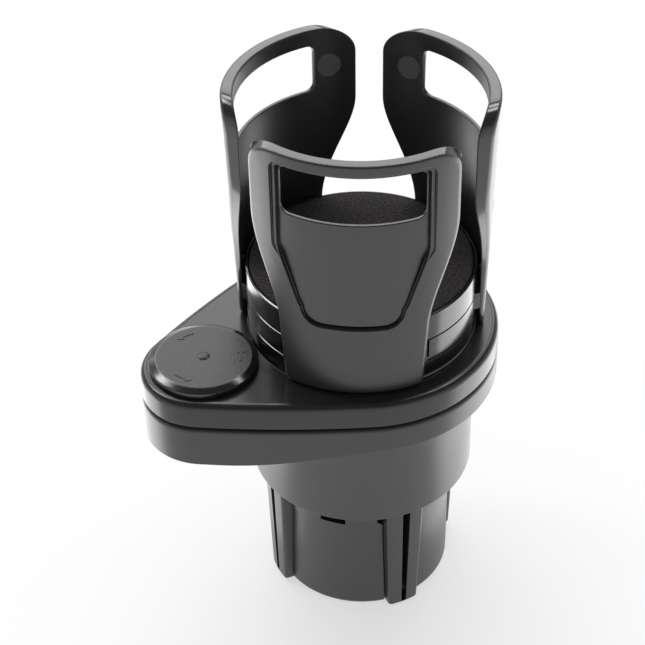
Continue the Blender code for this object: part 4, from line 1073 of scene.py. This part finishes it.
mark_black = moulded("mark_black", (0.06, 0.06, 0.061), 0.4, grain=0.3, grain_size=0.6,
                     specular=0.8)
inner_black = moulded("inner_black", (0.014, 0.014, 0.015), 0.36, grain=0.25, grain_size=0.5,
                      depth=0.04, specular=0.45)

dress(make_sleeve(), sleeve_black, "foot", "sleeve_plastic", "base_sleeve")
dress_round(make_leg(), leg_black, "leg_plastic", ("leg_1", "leg_a"), ("leg_2", "leg_b"),
            ("leg_3", "leg_c"), ("leg_4", "leg_d"))
dress(make_collar(), collar_black, "neck", "collar_plastic", "collar")
dress(make_lower_arm(), lower_black, "neck", "arm_plastic", "lower_arm")
dress(make_upper_arm(), arm_black, "swing_arm", "arm_plastic", "upper_arm")
dress(make_knob(), (knob_black, knob_rim, edge_highlight_grey), "clamp", "knob_plastic", "knob")
dress(make_drum_base(), drum_black, "swing_arm", "drum_plastic", "drum_base")
dress(make_guide_band(), drum_black, "swing_arm", "drum_plastic", "guide_band")
dress(make_cup_cap(), drum_black, "cap", "drum_plastic", "cup_cap")
mat = make_mat()
dress(mat, foam("foam_black"), "cap", "foam", "foam_mat")
dress_round(make_claw(), (claw_black, frame_black, wall_black, mark_black, inner_black),
            "claw_plastic", ("claw_1", "grip_a"), ("claw_2", "grip_b"), ("claw_3", "grip_c"))

# The inner pieces are shown as they are packed, with materials by slot.
inner_surfaces = {
    "steel": plated("plated_steel", (0.56, 0.56, 0.57), 0.3),
    "brass": plated("plain_brass", (0.6, 0.42, 0.18), 0.32),
    "inner_plastic": moulded("inner_grey", (0.06, 0.06, 0.06), 0.45)}
slots = {part["node"]: part["material_slot"] for part in frame["record"]["subparts"]}
for node, item in frame["nodes"].items():
    surface = inner_surfaces.get(slots.get(node))
    if surface is not None:
        item.data.materials.clear()
        item.data.materials.append(surface)


# Stage, light and camera, in metres

VIEW_TURN = -26.0       # the photograph's right-hand way, as a turn from +X
AIM_MIDDLE = (0.0, 0.0, 0.14)
AIM_LEFT = (-0.06, 0.0, 0.12)


def floor_surface():
    """Pale floor that keeps the shadow near the object and turns to plain white further out."""
    surface, nodes, links = new_surface("floor_white")
    nodes.clear()
    out = shade(nodes, "ShaderNodeOutputMaterial")
    matt = shade(nodes, "ShaderNodeBsdfDiffuse", {"Color": (0.9, 0.9, 0.9, 1.0)})
    glow = shade(nodes, "ShaderNodeEmission", {"Color": (1.0, 1.0, 1.0, 1.0)})
    place = shade(nodes, "ShaderNodeTexCoord")
    far = shade(nodes, "ShaderNodeVectorMath", operation="LENGTH")
    fade = shade(nodes, "ShaderNodeMapRange", {"From Min": 0.04, "From Max": 0.2, "To Min": 0.6},
                 interpolation_type="SMOOTHSTEP")
    path = shade(nodes, "ShaderNodeLightPath")
    rays = shade(nodes, "ShaderNodeMath", operation="MAXIMUM")
    seen = shade(nodes, "ShaderNodeMath", operation="MULTIPLY")
    mix = shade(nodes, "ShaderNodeMixShader")
    links.new(place.outputs["Object"], far.inputs[0])
    links.new(far.outputs["Value"], fade.inputs["Value"])
    links.new(path.outputs["Is Camera Ray"], rays.inputs[0])
    links.new(path.outputs["Is Glossy Ray"], rays.inputs[1])
    links.new(fade.outputs["Result"], seen.inputs[0])
    links.new(rays.outputs[0], seen.inputs[1])
    links.new(seen.outputs[0], mix.inputs["Fac"])
    links.new(matt.outputs[0], mix.inputs[1])
    links.new(glow.outputs[0], mix.inputs[2])
    links.new(mix.outputs[0], out.inputs["Surface"])
    return surface


def make_floor():
    form = bmesh.new()
    bmesh.ops.create_grid(form, x_segments=2, y_segments=2, size=3.0)
    item = from_form("floor", form)
    item.location.z = -0.0002
    item.data.materials.append(floor_surface())


def make_world(seen, low_level, high_level, ambient):
    """A white tent. The camera sees it at the level seen. Glossy surfaces see it at low_level near
    the horizon and high_level overhead, and it lights the rest at ambient."""
    world = bpy.data.worlds.new("tent")
    world.use_nodes = True
    bpy.context.scene.world = world
    nodes = world.node_tree.nodes
    links = world.node_tree.links
    nodes.clear()
    out = shade(nodes, "ShaderNodeOutputWorld")
    back = shade(nodes, "ShaderNodeBackground", {"Color": (1.0, 1.0, 1.0, 1.0)})
    place = shade(nodes, "ShaderNodeTexCoord")
    way = shade(nodes, "ShaderNodeSeparateXYZ")
    tent = shade(nodes, "ShaderNodeMapRange",
                 {"From Min": 0.1, "From Max": 0.6, "To Min": low_level, "To Max": high_level},
                 interpolation_type="SMOOTHSTEP")
    path = shade(nodes, "ShaderNodeLightPath")
    gloss = shade(nodes, "ShaderNodeMix", {"A": ambient}, data_type="FLOAT")
    level = shade(nodes, "ShaderNodeMix", {"B": seen}, data_type="FLOAT")
    links.new(place.outputs["Generated"], way.inputs[0])
    links.new(way.outputs["Z"], tent.inputs["Value"])
    links.new(path.outputs["Is Glossy Ray"], gloss.inputs["Factor"])
    links.new(tent.outputs["Result"], gloss.inputs["B"])
    links.new(path.outputs["Is Camera Ray"], level.inputs["Factor"])
    links.new(gloss.outputs["Result"], level.inputs["A"])
    links.new(level.outputs["Result"], back.inputs["Strength"])
    links.new(back.outputs[0], out.inputs["Surface"])


def soft_box(name, spot, aim, width, height, power):
    lamp = bpy.data.lights.new(name, "AREA")
    lamp.shape = "RECTANGLE"
    lamp.size = width
    lamp.size_y = height
    lamp.energy = power
    item = bpy.data.objects.new(name, lamp)
    item.location = spot
    item.rotation_euler = (Vector(aim) - Vector(spot)).to_track_quat("-Z", "Y").to_euler()
    item.visible_camera = False
    bpy.context.scene.collection.objects.link(item)
    return item


def card(name, aside, near, level):
    """A lit card that lies on the floor, face up. aside and near are its spans from the object's
    axis: to the photograph's right, and towards the photographer. level is how bright it looks,
    which an area lamp reaches with four times its area as power."""
    width = aside[1] - aside[0]
    depth = near[1] - near[0]
    item = soft_box(name, (0.0, 0.0, 0.0), (0.0, 0.0, 1.0), width, depth,
                    4.0 * width * depth * level)
    turn = math.radians(VIEW_TURN)
    right = Vector((math.cos(turn), math.sin(turn), 0.0))
    front = Vector((math.sin(turn), -math.cos(turn), 0.0))
    item.location = (right * (aside[0] + aside[1]) / 2 + front * (near[0] + near[1]) / 2
                     + Vector((0.0, 0.0, 0.003)))
    item.rotation_euler = (math.pi, 0.0, turn)


def make_camera():
    lens = bpy.data.cameras.new("camera")
    lens.sensor_width = 36.0
    lens.lens = 101.457
    lens.shift_x = -0.06857
    lens.shift_y = -0.02217
    lens.clip_start = 0.01
    item = bpy.data.objects.new("camera", lens)
    item.location = (-0.2305, -0.4722, 0.5358)
    aim = Vector((0.0017, -0.0009, 0.1220)) - item.location
    item.rotation_euler = aim.to_track_quat("-Z", "Y").to_euler()
    bpy.context.scene.collection.objects.link(item)
    bpy.context.scene.camera = item


make_floor()
make_world(1.0, 0.75, 0.12, 0.45)
card("left_card", (-0.62, -0.11), (-0.45, 0.05), 1.8)
card("right_card", (0.11, 0.62), (-0.45, 0.05), 1.5)
card("left_near", (-0.11, -0.05), (-0.1, 0.03), 0.6)
card("right_near", (0.05, 0.11), (-0.1, 0.03), 0.9)
soft_box("back_box", (0.25, 0.72, 0.68), AIM_MIDDLE, 1.3, 0.5, 5.2)
soft_box("top_strip", (0.2, 0.42, 1.02), AIM_MIDDLE, 0.9, 0.16, 2.8)
soft_box("left_lamp", (-0.39, 0.5, 0.84), AIM_LEFT, 0.2, 0.32, 2.2)
soft_box("right_lamp", (0.42, 0.03, 0.93), AIM_LEFT, 0.14, 0.2, 0.6)
make_camera()

bpy.context.scene.view_settings.view_transform = "Standard"
